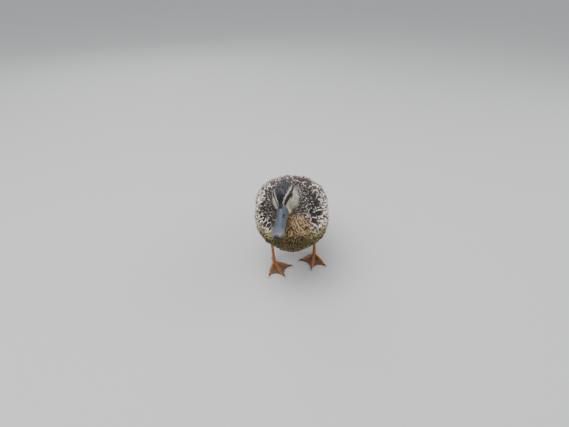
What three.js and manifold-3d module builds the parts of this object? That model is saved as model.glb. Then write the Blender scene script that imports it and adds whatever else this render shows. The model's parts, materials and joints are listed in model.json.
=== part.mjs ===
// A hen mallard, life size, standing with her neck drawn in and her head turned and tilted to one side.
// Millimetres, +Z up. She faces -Y, so +X is her left. The solids follow the outer surface of the feathers.
import * as THREE from "three";
import { mergeVertices } from "three/addons/utils/BufferGeometryUtils.js";
import Module from "manifold-3d";

const wasm = await Module();
wasm.setup();

// ---------------------------------------------------------------- driving dimensions
const GAP = 0.3; // clearance between touching pieces
const deg = THREE.MathUtils.degToRad;

// Side outline and widths of the trunk, from the breast to the tail coverts. Heights are above the floor.
// keel is the power of a section's lower half: 2 is an ellipse, less is narrower towards the belly.
const TRUNK_MIDDLE = -6; // her weight is a little over the right foot
const TRUNK = [
  { y: -98, top: 137, bottom: 80, halfWidth: 51, widest: 0.5, keel: 1.55 },
  { y: -74, top: 163, bottom: 66, halfWidth: 58, widest: 0.47, keel: 1.52 },
  { y: -44, top: 182, bottom: 58, halfWidth: 64, widest: 0.46, keel: 1.6 },
  { y: -8, top: 181, bottom: 57, halfWidth: 64.6, widest: 0.47, keel: 1.7 },
  { y: 37, top: 160, bottom: 60, halfWidth: 59.5, widest: 0.5, keel: 1.8 },
  { y: 82, top: 137, bottom: 67, halfWidth: 46, widest: 0.55, keel: 1.9 },
  { y: 122, top: 117, bottom: 76, halfWidth: 32, widest: 0.58, keel: 2 },
  { y: 164, top: 97, bottom: 83, halfWidth: 21, widest: 0.55, keel: 2 },
];
const BREAST_DOME = { from: -64, to: -112 }; // where the front closes over
const RUMP_DOME = { from: 138, to: 164 };
const SECTION_POWER = 2.08; // of the upper half and of the two domes, a little squarer than an ellipse

const HEAD = {
  at: [-20.6, -93, 156.4], // the gape, midway between its corners
  yaw: deg(11), // bill towards -X
  pitch: deg(14.5), // bill down
  roll: deg(13.5), // her left eye up
};

const BILL = { length: 52, baseWidth: 18.5, tipWidth: 21.4, baseHeight: 20, tipHeight: 5 };
const NAIL = { radii: [3.8, 4.2, 2.4], at: [0, -50, 2] };
const EYE = { radius: 5.2, at: [11.4, 24, 20.5] };
const WING = { raised: 1, depth: 4, quills: 5, quillLength: 102 };
const TAIL = { quills: 11, length: 86, spread: deg(38), root: [-6, 108, 104], slope: deg(-15) };

const LEGS = [
  // the far foot stands level with the body, and the near one a short step ahead
  { side: "left", foot: [39.5, 11.7], hock: [40, 30], turn: deg(-10) },
  { side: "right", foot: [-38.6, -14], hock: [-44, 6], turn: deg(26) },
];
const SHANK = { hockHeight: 44, radius: 3.1 };
const ANKLE = 6.2; // where the shank meets the toes
const TOES = [
  // angles from straight ahead, opening away from the other foot
  { name: "inner", length: 34, angle: deg(-46) },
  { name: "middle", length: 46, angle: 0 },
  { name: "outer", length: 40, angle: deg(38) },
];
const TOE = { rootRadius: 3.1, tipRadius: 2.1, claw: 8 };
const WEB = { thickness: 1.6, sag: 0.42 };

// ---------------------------------------------------------------- materials
const finish = (color, roughness) => new THREE.MeshStandardMaterial({ color, roughness, metalness: 0 });
const brownFeather = finish("#6b5643", 0.85);
const headFeather = finish("#8c8270", 0.85);
const wingFeather = finish("#5d4d40", 0.8);
const tailFeather = finish("#8d7a64", 0.8);
const horn = finish("#66707f", 0.45);
const nailHorn = finish("#1c1b1c", 0.4);
const mandibleHorn = finish("#8a6a4c", 0.5);
const eyeGloss = finish("#1c120c", 0.1);
const legSkin = finish("#b8652c", 0.6);
const clawHorn = finish("#3a2c24", 0.5);

// ---------------------------------------------------------------- solids and meshes
const v3 = (a) => new THREE.Vector3(...a);

function solidOf(geometry) {
  const bare = geometry.clone();
  for (const name of ["normal", "uv"]) bare.deleteAttribute(name);
  const merged = mergeVertices(bare, 1e-3);
  return new wasm.Manifold(
    new wasm.Mesh({
      numProp: 3,
      vertProperties: merged.attributes.position.array,
      triVerts: new Uint32Array(merged.index.array),
    }),
  );
}

function geometryOf(solid) {
  const { numProp, vertProperties, triVerts } = solid.getMesh();
  const points = [];
  for (let i = 0; i < vertProperties.length; i += numProp)
    points.push(...vertProperties.subarray(i, i + 3));
  const geometry = new THREE.BufferGeometry();
  geometry.setAttribute("position", new THREE.Float32BufferAttribute(points, 3));
  geometry.setIndex([...triVerts]);
  return geometry;
}

function piece(name, solid, material) {
  const made = new THREE.Mesh(geometryOf(solid), material);
  made.name = name;
  return made;
}

const ellipsoidSolid = (at, radii) =>
  solidOf(new THREE.SphereGeometry(1, 14, 9)).scale(radii).translate(at);
const placed = (solid, matrix) => solid.transform(matrix.elements);
const unionOf = (solids) => solids.reduce((a, b) => a.add(b));
const largest = (solid) => solid.decompose().sort((a, b) => b.volume() - a.volume())[0];

// A closed tube along a curve. size(t) gives its half width and half height, and both ends close on a point.
// The section's height stays as near to `up` as the curve allows.
function sweep(curve, size, { rings = 12, sides = 12, up = [0, 0, 1] } = {}) {
  const points = [];
  const index = [];
  const upward = v3(up);
  for (let i = 0; i <= rings; i++) {
    const t = i / rings;
    const centre = curve.getPoint(t);
    const along = curve.getTangent(t);
    const across = along.clone().cross(upward).normalize();
    const above = across.clone().cross(along).normalize();
    const [width, height] = size(t);
    for (let k = 0; k < sides; k++) {
      const turn = (k / sides) * 2 * Math.PI;
      const p = centre.clone();
      p.addScaledVector(across, width * Math.cos(turn)).addScaledVector(above, height * Math.sin(turn));
      points.push(...p.toArray());
    }
  }
  const corner = (i, k) => i * sides + (k % sides);
  for (let i = 0; i < rings; i++)
    for (let k = 0; k < sides; k++) {
      index.push(corner(i, k), corner(i + 1, k), corner(i + 1, k + 1));
      index.push(corner(i, k), corner(i + 1, k + 1), corner(i, k + 1));
    }
  const first = points.length / 3;
  points.push(...curve.getPoint(0).toArray(), ...curve.getPoint(1).toArray());
  for (let k = 0; k < sides; k++) {
    index.push(first, corner(0, k), corner(0, k + 1));
    index.push(first + 1, corner(rings, k + 1), corner(rings, k));
  }
  const geometry = new THREE.BufferGeometry();
  geometry.setAttribute("position", new THREE.Float32BufferAttribute(points, 3));
  geometry.setIndex(index);
  return solidOf(geometry);
}

const curveThrough = (...points) => new THREE.CatmullRomCurve3(points.map(v3));
const roundedEnds = (t, power = 0.5) => Math.pow(Math.max(1 - (2 * t - 1) ** 2, 0.0004), power);

// ---------------------------------------------------------------- the feathered body as a field
// A field is negative inside the body and grows by about 1 for each millimetre outwards.
function ellipsoid(centre, radii) {
  return ([x, y, z]) => {
    const q = [(x - centre[0]) / radii[0], (y - centre[1]) / radii[1], (z - centre[2]) / radii[2]];
    const near = Math.hypot(...q);
    const slope = Math.hypot(q[0] / radii[0], q[1] / radii[1], q[2] / radii[2]);
    return slope < 1e-9 ? -Math.min(...radii) : (near * (near - 1)) / slope;
  };
}

// A tapering rod with round ends.
function taper(a, b, ra, rb) {
  const axis = v3(b).sub(v3(a));
  const length = axis.length();
  const point = new THREE.Vector3();
  axis.normalize();
  return (p) => {
    point.set(p[0] - a[0], p[1] - a[1], p[2] - a[2]);
    const t = THREE.MathUtils.clamp(point.dot(axis) / length, 0, 1);
    return point.addScaledVector(axis, -t * length).length() - THREE.MathUtils.lerp(ra, rb, t);
  };
}

function blended(fields, width) {
  const join = (a, b) => {
    const h = Math.max(width - Math.abs(a - b), 0) / width;
    return Math.min(a, b) - (h * h * width) / 4;
  };
  return (p) => fields.map((field) => field(p)).reduce(join);
}

const rigid = (at, x = 0, y = 0, z = 0) =>
  new THREE.Matrix4().makeRotationFromEuler(new THREE.Euler(x, y, z, "ZXY")).setPosition(...at);

// The field of a body part that is described in its own frame.
function moved(field, matrix) {
  const back = matrix.clone().invert();
  const point = new THREE.Vector3();
  return (p) => field(point.set(...p).applyMatrix4(back).toArray());
}

const headFrame = rigid(HEAD.at, HEAD.pitch, -HEAD.roll, -HEAD.yaw);

// The trunk is lofted: a rounded section for each y, with its own top, bottom, width and widest level.
const trunkStations = new THREE.CubicInterpolant(
  TRUNK.map((station) => station.y),
  TRUNK.flatMap(({ top, bottom, halfWidth, widest, keel }) => [top, bottom, halfWidth, widest, keel]),
  5,
  new Float64Array(5),
);
const past = (y, { from, to }) => Math.max((y - from) / (to - from), 0);

// A section's half width, and for its upper and lower halves the half height and the power.
function sectionAt(y) {
  const inRange = THREE.MathUtils.clamp(y, TRUNK[0].y, TRUNK.at(-1).y);
  const [top, bottom, halfWidth, widest, keel] = trunkStations.evaluate(inRange);
  const centre = THREE.MathUtils.lerp(bottom, top, widest);
  const upper = { reach: top - centre, power: SECTION_POWER };
  const lower = { reach: centre - bottom, power: keel };
  return { centre, halfWidth, upper, lower };
}

// The length of (a, b) where the unit curve is a superellipse.
const roundLength = (a, b, power) => (Math.abs(a) ** power + Math.abs(b) ** power) ** (1 / power);

function trunkLevel([x, y, z]) {
  const { centre, halfWidth, upper, lower } = sectionAt(y);
  const half = z > centre ? upper : lower;
  const across = roundLength((x - TRUNK_MIDDLE) / halfWidth, (z - centre) / half.reach, half.power);
  return roundLength(across, past(y, BREAST_DOME) + past(y, RUMP_DOME), SECTION_POWER) - 1;
}

// Turns a level function into millimetres by dividing by its slope.
function inMillimetres(level) {
  const reach = 0.5;
  return (p) => {
    const here = level(p);
    const beside = (k) => level(p.map((value, n) => value + (n === k ? reach : 0)));
    const slope = [0, 1, 2].map((k) => (beside(k) - here) / reach);
    return here / Math.max(Math.hypot(...slope), 0.004);
  };
}

const trunkField = inMillimetres(trunkLevel);

const headField = blended(
  [
    ellipsoid([0, 31, 17], [15, 26, 19.5]), // crown
    taper([0, 9, 9.5], [0, 27, 17], 9.2, 14.5), // forehead and lores
    ellipsoid([8, 33, 3], [13.5, 21, 16]), // left cheek
    ellipsoid([-8, 33, 3], [13.5, 21, 16]), // right cheek
    taper([0, 9, 0], [0, 30, -4], 6, 12.5), // chin and throat
  ],
  6,
);

const inHead = (p) => v3(p).applyMatrix4(headFrame).toArray();
const neckField = blended(
  [taper(inHead([0, 42, 8]), [-9, -48, 143], 19, 33), taper(inHead([0, 33, -6]), [-8, -72, 121], 15, 34)],
  12,
);

const bodyField = blended([trunkField, moved(headField, headFrame), neckField], 12);

// Closes a field's zero surface inside a box with a net of one vertex for each crossed cell.
function netOf(field, { low, high, step }) {
  const inside = (p) =>
    Math.max(field(p), ...p.map((value, k) => Math.max(low[k] + step - value, value - high[k] + step)));
  const count = low.map((value, k) => Math.ceil((high[k] - value) / step) + 1);
  const [nx, ny, nz] = count;
  const at = (i, j, k) => i + nx * (j + ny * k);
  const values = new Float64Array(nx * ny * nz);
  const place = (i, j, k) => [low[0] + i * step, low[1] + j * step, low[2] + k * step];
  for (let k = 0; k < nz; k++)
    for (let j = 0; j < ny; j++)
      for (let i = 0; i < nx; i++) values[at(i, j, k)] = inside(place(i, j, k)) + 1e-7;

  const corners = [0, 1, 2, 3, 4, 5, 6, 7].map((c) => [c & 1, (c >> 1) & 1, (c >> 2) & 1]);
  const vertexOf = new Map();
  const points = [];
  for (let k = 0; k < nz - 1; k++)
    for (let j = 0; j < ny - 1; j++)
      for (let i = 0; i < nx - 1; i++) {
        const held = corners.map(([a, b, c]) => values[at(i + a, j + b, k + c)]);
        const below = held.filter((value) => value < 0).length;
        if (below === 0 || below === 8) continue;
        const sum = new THREE.Vector3();
        let crossings = 0;
        for (let a = 0; a < 8; a++)
          for (const bit of [1, 2, 4]) {
            const b = a | bit;
            if (b === a || held[a] < 0 === held[b] < 0) continue;
            const t = held[a] / (held[a] - held[b]);
            sum.add(v3(corners[a]).lerp(v3(corners[b]), t));
            crossings++;
          }
        vertexOf.set(at(i, j, k), points.length / 3);
        const cell = place(i, j, k);
        sum.multiplyScalar(step / crossings);
        points.push(...onSurface(inside, [cell[0] + sum.x, cell[1] + sum.y, cell[2] + sum.z], step));
      }

  const index = [];
  const axes = [
    [1, 0, 0],
    [0, 1, 0],
    [0, 0, 1],
  ];
  for (let k = 1; k < nz - 1; k++)
    for (let j = 1; j < ny - 1; j++)
      for (let i = 1; i < nx - 1; i++)
        axes.forEach((axis, n) => {
          const here = values[at(i, j, k)] < 0;
          const there = values[at(i + axis[0], j + axis[1], k + axis[2])] < 0;
          if (here === there) return;
          const u = axes[(n + 1) % 3];
          const v = axes[(n + 2) % 3];
          const cellAt = (a, b) =>
            vertexOf.get(at(i - a * u[0] - b * v[0], j - a * u[1] - b * v[1], k - a * u[2] - b * v[2]));
          const quad = [cellAt(1, 1), cellAt(0, 1), cellAt(0, 0), cellAt(1, 0)];
          if (!here) quad.reverse();
          index.push(quad[0], quad[1], quad[2], quad[0], quad[2], quad[3]);
        });
  const geometry = new THREE.BufferGeometry();
  const smoothPoints = evened(points, index, inside, step);
  geometry.setAttribute("position", new THREE.Float32BufferAttribute(smoothPoints, 3));
  geometry.setIndex(index);
  return solidOf(geometry);
}

// Evens out a net: every vertex moves to the middle of its neighbours and back onto the surface.
function evened(points, index, field, step) {
  const count = points.length / 3;
  const sums = new Float64Array(points.length);
  const shares = new Float64Array(count);
  for (let i = 0; i < index.length; i++) {
    const here = index[i];
    const next = index[i % 3 === 2 ? i - 2 : i + 1];
    for (let k = 0; k < 3; k++) sums[3 * here + k] += points[3 * next + k];
    shares[here]++;
  }
  const even = [];
  for (let i = 0; i < count; i++)
    even.push(...onSurface(field, [0, 1, 2].map((k) => sums[3 * i + k] / shares[i]), step));
  return even;
}

// A closed loft of the trunk's own sections, grown or shrunk by a margin.
function trunkLoft(margin, rings = 16, sides = 18) {
  const first = BREAST_DOME.to + 8;
  const last = RUMP_DOME.to - 1;
  const points = [];
  const index = [];
  for (let i = 0; i <= rings; i++) {
    const y = THREE.MathUtils.lerp(first, last, i / rings);
    const { centre, halfWidth, upper, lower } = sectionAt(y);
    const end = past(y, BREAST_DOME) + past(y, RUMP_DOME);
    const close = (1 - end ** SECTION_POWER) ** (1 / SECTION_POWER);
    for (let k = 0; k < sides; k++) {
      const turn = (k / sides) * 2 * Math.PI;
      const half = Math.sin(turn) > 0 ? upper : lower;
      const bend = (value) => Math.sign(value) * Math.abs(value) ** (2 / half.power);
      const across = (halfWidth * close + margin) * bend(Math.cos(turn));
      const up = (half.reach * close + margin) * bend(Math.sin(turn));
      points.push(TRUNK_MIDDLE + across, y, centre + up);
    }
  }
  const corner = (i, k) => i * sides + (k % sides);
  for (let i = 0; i < rings; i++)
    for (let k = 0; k < sides; k++) {
      index.push(corner(i, k), corner(i + 1, k), corner(i + 1, k + 1));
      index.push(corner(i, k), corner(i + 1, k + 1), corner(i, k + 1));
    }
  for (let k = 1; k < sides - 1; k++) {
    index.push(corner(0, 0), corner(0, k), corner(0, k + 1));
    index.push(corner(rings, 0), corner(rings, k + 1), corner(rings, k));
  }
  const geometry = new THREE.BufferGeometry();
  geometry.setAttribute("position", new THREE.Float32BufferAttribute(points, 3));
  geometry.setIndex(index);
  return solidOf(geometry);
}

// Two Newton steps down the field's slope, none longer than a third of a cell.
function onSurface(field, p, step) {
  const reach = 0.05;
  for (let turn = 0; turn < 2; turn++) {
    const slope = [0, 1, 2].map((k) => {
      const ahead = [...p];
      const behind = [...p];
      ahead[k] += reach;
      behind[k] -= reach;
      return (field(ahead) - field(behind)) / (2 * reach);
    });
    const steep = slope[0] ** 2 + slope[1] ** 2 + slope[2] ** 2;
    const move = THREE.MathUtils.clamp(field(p) / Math.max(steep, 0.2), -step / 3, step / 3);
    p = p.map((value, k) => value - move * slope[k]);
  }
  return p;
}

// ---------------------------------------------------------------- wings, primaries and tail
const plate = (outline, depth, curveSegments) =>
  solidOf(new THREE.ExtrudeGeometry(outline, { depth, bevelEnabled: false, curveSegments }));

// One vane: a leaf with a rounded point, lying in XY with its root at the origin and its tip towards +Y.
function vane(length, width, thickness) {
  const outline = new THREE.Shape();
  outline.moveTo(-0.25 * width, 0);
  outline.bezierCurveTo(-0.5 * width, 0.35 * length, -0.58 * width, 0.94 * length, -0.18 * width, length);
  outline.lineTo(0.18 * width, length);
  outline.bezierCurveTo(0.58 * width, 0.94 * length, 0.5 * width, 0.35 * length, 0.25 * width, 0);
  return plate(outline, thickness, 2);
}

// The folded wing's outline from the side, as a prism reaching out from the body's middle.
function wingPrism(side, grow = 0) {
  const outline = new THREE.Shape();
  outline.moveTo(-76 - grow, 134);
  outline.bezierCurveTo(-74 - grow, 152 + grow, -42, 161 + grow, -6, 158 + grow);
  outline.bezierCurveTo(40, 151 + grow, 88, 131 + grow, 126 + grow, 109 + grow);
  outline.lineTo(126 + grow, 106 - grow);
  outline.bezierCurveTo(108, 99 - grow, 72, 101 - grow, 30, 100 - grow);
  outline.bezierCurveTo(-10, 97 - grow, -72 - grow, 102 - grow, -76 - grow, 134);
  // the outline's x becomes her y, its y becomes z, and the depth runs sideways
  const lie = new THREE.Matrix4().makeBasis(v3([0, 1, 0]), v3([0, 0, 1]), v3([1, 0, 0]));
  const prism = placed(plate(outline, 90, 4), lie.setPosition(6, 0, 0));
  return (side > 0 ? prism : prism.mirror([1, 0, 0])).translate([TRUNK_MIDDLE, 0, 0]);
}

// The long quills that reach back past the folded wing, each a little shorter than the one before.
function primaries(side, grow = 0) {
  const quills = [];
  for (let i = 0; i < WING.quills; i++) {
    const length = WING.quillLength - 9 * i + grow;
    const quill = vane(length, 17 + 2 * grow, 1.3 + 2 * grow).translate(0, 0, -grow);
    const lie = rigid(
      [TRUNK_MIDDLE + side * (38 - 0.8 * i), 72, 131 - 1.5 * i],
      deg(-20),
      side * deg(48),
      side * deg(18 - 1.2 * i),
    );
    quills.push(placed(quill, lie));
  }
  return unionOf(quills);
}

function tailFan(grow = 0) {
  const quills = [];
  const middle = (TAIL.quills - 1) / 2;
  for (let i = 0; i < TAIL.quills; i++) {
    const out = (i - middle) / middle;
    const length = TAIL.length * (1 - 0.2 * out * out) + grow;
    const lie = rigid([7 * out, 0, -5 * out * out], deg(1), deg(9) * out, (-TAIL.spread / 2) * out);
    quills.push(placed(vane(length, 19 + 2 * grow, 1.5 + 2 * grow).translate(0, 0, -grow), lie));
  }
  return placed(unionOf(quills), rigid(TAIL.root, TAIL.slope));
}

// ---------------------------------------------------------------- bill and eyes, in the head's frame
// Widths and heights along the upper half of the bill, from inside the face (t = 0) to the tip (t = 1).
function billUpper(grow = 0) {
  const tip = -BILL.length - grow;
  const route = curveThrough([0, 10, 7], [0, 0, 6.8], [0, -16, 4.9], [0, -36, 3.4], [0, tip, 2.4]);
  const size = (t) => {
    const flare = THREE.MathUtils.smoothstep(t, 0.3, 0.85);
    const width = THREE.MathUtils.lerp(BILL.baseWidth, BILL.tipWidth, flare) / 2;
    const height = THREE.MathUtils.lerp(BILL.baseHeight, BILL.tipHeight, Math.pow(t, 0.6)) / 2;
    const end = t > 0.84 ? Math.sqrt(Math.max(1 - ((t - 0.84) / 0.162) ** 2, 0)) : 1;
    return [Math.max(width * end, 0.6) + grow, height * Math.max(end, 0.45) + grow];
  };
  return sweep(route, size, { rings: 12, sides: 12 }).trimByPlane([0, 0, 1], -0.6 - grow);
}

function billLower(grow = 0) {
  const tip = 3 - BILL.length - grow;
  const route = curveThrough([0, 10, -2], [0, -10, -2], [0, -30, -1.6], [0, tip, -1.1]);
  const size = (t) => {
    const width = THREE.MathUtils.lerp(7.2, 9, t);
    const end = t > 0.84 ? Math.sqrt(Math.max(1 - ((t - 0.84) / 0.162) ** 2, 0)) : 1;
    const height = THREE.MathUtils.lerp(4.6, 2.2, t) * Math.max(end, 0.5);
    return [Math.max(width * end, 0.6) + grow, height + grow];
  };
  return sweep(route, size, { rings: 8, sides: 10 }).trimByPlane([0, 0, -1], 0.6 + GAP - grow);
}

const ball = (at, radius, grow = 0) =>
  solidOf(new THREE.SphereGeometry(radius + grow, 11, 7)).translate(at);
const nailShape = (grow = 0) =>
  solidOf(new THREE.SphereGeometry(1, 9, 6))
    .scale(NAIL.radii.map((radius) => radius + grow))
    .translate(NAIL.at);

// ---------------------------------------------------------------- legs and feet
function foot(leg) {
  const away = leg.side === "left" ? 1 : -1;
  const [x, y] = leg.foot;
  const bearing = (toe) => leg.turn + away * toe.angle;
  const ahead = (toe) => v3([Math.sin(bearing(toe)), -Math.cos(bearing(toe)), 0]);
  const along = (toe, reach, z) => v3([x, y, z]).addScaledVector(ahead(toe), reach);
  const toes = TOES.map((toe) => {
    const route = new THREE.CatmullRomCurve3([
      along(toe, 0, TOE.rootRadius),
      along(toe, 0.5 * toe.length, 2.8),
      along(toe, toe.length, 1.6),
    ]);
    const size = (t) => {
      const knuckles = 1 + 0.06 * Math.cos(4 * Math.PI * t);
      const taperRadius = THREE.MathUtils.lerp(TOE.rootRadius, TOE.tipRadius, t);
      const radius = taperRadius * knuckles * roundedEnds(t, 0.18);
      return [1.1 * radius, radius];
    };
    return sweep(route, size, { rings: 4, sides: 7 });
  });
  // one web spans all three toes, with its rim drawn in between them
  const tips = TOES.map((toe) => along(toe, toe.length, 0));
  const outline = new THREE.Shape();
  outline.moveTo(x, y);
  outline.lineTo(tips[0].x, tips[0].y);
  for (const n of [1, 2]) {
    const rim = tips[n - 1].clone().lerp(tips[n], 0.5).lerp(v3([x, y, 0]), WEB.sag);
    outline.quadraticCurveTo(rim.x, rim.y, tips[n].x, tips[n].y);
  }
  outline.closePath();
  const web = plate(outline, WEB.thickness, 4);
  const post = new THREE.CylinderGeometry(3.6, 3.9, 2 * ANKLE, 8).rotateX(Math.PI / 2);
  const pad = solidOf(post).translate([x, y, 0]);
  const claws = TOES.map((toe) => {
    const start = toe.length - 3;
    return {
      name: toe.name,
      route: new THREE.CatmullRomCurve3([
        along(toe, start, 2.2),
        along(toe, start + 0.5 * TOE.claw, 2.7),
        along(toe, start + TOE.claw, 0.9),
      ]),
    };
  });
  const solid = unionOf([...toes, web, pad]).trimByPlane([0, 0, 1], 0).trimByPlane([0, 0, -1], -ANKLE);
  return { solid, claws };
}

// The small hind toe leaves the back of the ankle and just reaches the floor.
function hindToe(leg, grow = 0) {
  const back = v3([-Math.sin(leg.turn), Math.cos(leg.turn), 0]);
  const at = (reach, z) => v3([leg.foot[0], leg.foot[1], z]).addScaledVector(back, reach);
  const size = (t) => [1.9 * roundedEnds(t, 0.2) + grow, 2 * roundedEnds(t, 0.2) + grow];
  const bone = new THREE.CatmullRomCurve3([at(2.6, 9.5), at(7, 6.6), at(12, 2.1)]);
  const toe = sweep(bone, size, { rings: 5, sides: 7 });
  const route = new THREE.CatmullRomCurve3([at(10.6, 3.4), at(13.2, 2.8), at(15.2, 0.9)]);
  return { toe: toe.trimByPlane([0, 0, 1], 0), claw: { name: "hind", route } };
}

// A curved cone, blunt at the root.
function clawOf({ route }, grow = 0) {
  const size = (t) => {
    const radius = 1.5 * Math.sqrt(Math.max(1 - t * t, 0.03)) + grow;
    return [0.85 * radius, radius];
  };
  return sweep(route, size, { rings: 3, sides: 5 }).trimByPlane([0, 0, 1], 0);
}

function shank(leg, grow = 0) {
  const [fx, fy] = leg.foot;
  const [hx, hy] = leg.hock;
  const bend = [(hx + fx) / 2, (hy + fy) / 2 + 1.5, SHANK.hockHeight / 2 + 3];
  const hock = [hx, hy, SHANK.hockHeight];
  const route = curveThrough([hx, hy, SHANK.hockHeight + 8], hock, bend, [fx, fy + 1, 5]);
  const bump = (t, centre, width, height) => height * Math.exp(-(((t - centre) / width) ** 2));
  const size = (t) => {
    const radius = SHANK.radius + bump(t, 0.17, 0.13, 2.3) + bump(t, 1, 0.12, 1.1) + grow;
    return [radius * 0.92, radius * 1.15];
  };
  return sweep(route, size, { rings: 8, sides: 7, up: [0, -1, 0] });
}

function thigh(leg, grow = 0) {
  const [hx, hy] = leg.hock;
  const away = Math.sign(hx);
  const route = curveThrough(
    [away * 32 - 4, hy - 18, 84],
    [away * 37 - 3, hy - 10, 68],
    [hx - away, hy - 3, SHANK.hockHeight + 8],
    [hx, hy, SHANK.hockHeight + 2],
  );
  const size = (t) => {
    const radius = THREE.MathUtils.lerp(18, 5.8, Math.pow(t, 0.8)) * (t < 0.1 ? 0.8 : 1) + grow;
    return [radius, radius * 1.15];
  };
  return sweep(route, size, { rings: 6, sides: 9, up: [0, -1, 0] });
}

// ---------------------------------------------------------------- assembly
const duck = new THREE.Group();
const headGroup = new THREE.Group();
headGroup.applyMatrix4(headFrame);
duck.add(headGroup);

const foreBody = netOf(bodyField, { low: [-90, -134, 36], high: [78, 26, 230], step: 14 });
const fineNeck = netOf(bodyField, { low: [-68, -124, 100], high: [44, -8, 220], step: 10.8 });
const raised = trunkLoft(WING.raised);
const sunk = trunkLoft(-WING.depth, 11, 14); // the wing's hidden inner face needs fewer sections
const sunkMore = trunkLoft(-WING.depth - GAP, 11, 14);
// the neck's swelling ends well before this level, so the plain loft can carry on behind it
const wholeBody = foreBody.trimByPlane([0, -1, 0], -10).add(trunkLoft(0).trimByPlane([0, 1, 0], 9.6));
const fineHead = netOf(moved(bodyField, headFrame.clone().invert()), {
  low: [-44, -22, -50],
  high: [44, 92, 56],
  step: 7.4,
});

// The head parts from the neck along a ball behind the cheeks, and the neck from the trunk along another.
const headBall = (grow) => ellipsoidSolid([0, 21, 8], [33 + grow, 45 + grow, 36 + grow]);
const neckBall = (grow) => ellipsoidSolid([-12, -68, 157], [43 + grow, 42 + grow, 45 + grow]);

const eyes = [1, -1].map((side) => ({ side, at: [side * EYE.at[0], EYE.at[1], EYE.at[2]] }));
const upper = billUpper();
const lower = billLower();
let head = fineHead.intersect(headBall(0)).subtract(billUpper(GAP)).subtract(billLower(GAP));
for (const eye of eyes) head = head.subtract(ball(eye.at, EYE.radius, GAP));
headGroup.add(piece("head", head, headFeather));
headGroup.add(piece("bill_upper", upper.subtract(nailShape(GAP)), horn));
headGroup.add(piece("bill_nail", nailShape(), nailHorn));
headGroup.add(piece("bill_lower", lower.subtract(nailShape(GAP)), mandibleHorn));
for (const eye of eyes) {
  const name = eye.side > 0 ? "eye_left" : "eye_right";
  headGroup.add(piece(name, ball(eye.at, EYE.radius), eyeGloss));
}

const headRoom = placed(headBall(GAP), headFrame);
duck.add(piece("neck", fineNeck.subtract(headRoom).intersect(neckBall(0)), headFeather));
const headAndNeckRoom = headRoom.add(neckBall(GAP));
let trunk = wholeBody.subtract(headAndNeckRoom).subtract(tailFan(GAP));

for (const [name, side] of [
  ["left", 1],
  ["right", -1],
]) {
  const wing = raised.intersect(wingPrism(side)).subtract(sunk).subtract(headAndNeckRoom);
  const room = wingPrism(side, GAP).subtract(sunkMore);
  const quills = largest(primaries(side).subtract(room));
  trunk = trunk.subtract(room).subtract(primaries(side, GAP));
  duck.add(piece("wing_" + name, wing, wingFeather));
  duck.add(piece("primaries_" + name, quills, wingFeather));
}
duck.add(piece("tail", tailFan().subtract(unionOf([primaries(1, GAP), primaries(-1, GAP)])), tailFeather));

for (const leg of LEGS) {
  const front = foot(leg);
  const hind = hindToe(leg);
  const claws = [...front.claws, hind.claw];
  const clawRoom = unionOf(claws.map((claw) => clawOf(claw, GAP)));
  const shin = shank(leg).trimByPlane([0, 0, 1], ANKLE + GAP);
  const sole = front.solid.subtract(hindToe(leg, GAP).toe).subtract(clawRoom);
  trunk = trunk.subtract(thigh(leg, GAP)).subtract(shank(leg, GAP));
  duck.add(piece("thigh_" + leg.side, largest(thigh(leg).subtract(shank(leg, GAP))), brownFeather));
  duck.add(piece("shank_" + leg.side, shin.subtract(hindToe(leg, GAP).toe), legSkin));
  duck.add(piece("foot_" + leg.side, sole, legSkin));
  duck.add(piece("hind_toe_" + leg.side, hind.toe.subtract(clawRoom), legSkin));
  for (const claw of claws) duck.add(piece(`claw_${claw.name}_${leg.side}`, clawOf(claw), clawHorn));
}
duck.add(piece("trunk", trunk, brownFeather));
const box = new THREE.Box3().setFromObject(duck);
const middle = box.getCenter(new THREE.Vector3());
duck.position.set(-middle.x, -middle.y, -box.min.z);

export default duck;
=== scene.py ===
# %% [markdown]
# # A hen mallard, life size
# A duck is a small body inside a thick, overlapping coat. The coat is what we see: several thousand
# feathers that lie like roof tiles from the bill to the tail. This lesson builds her in that order: a
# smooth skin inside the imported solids, feathers laid on it by Geometry Nodes, then the bare parts,
# which are the bill, the eyes and the feet.

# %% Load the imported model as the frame
import json
import math
from itertools import product

import bmesh
import bpy
import numpy as np
from mathutils import Matrix, Vector
from mathutils.bvhtree import BVHTree
from mathutils.kdtree import KDTree

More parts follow.
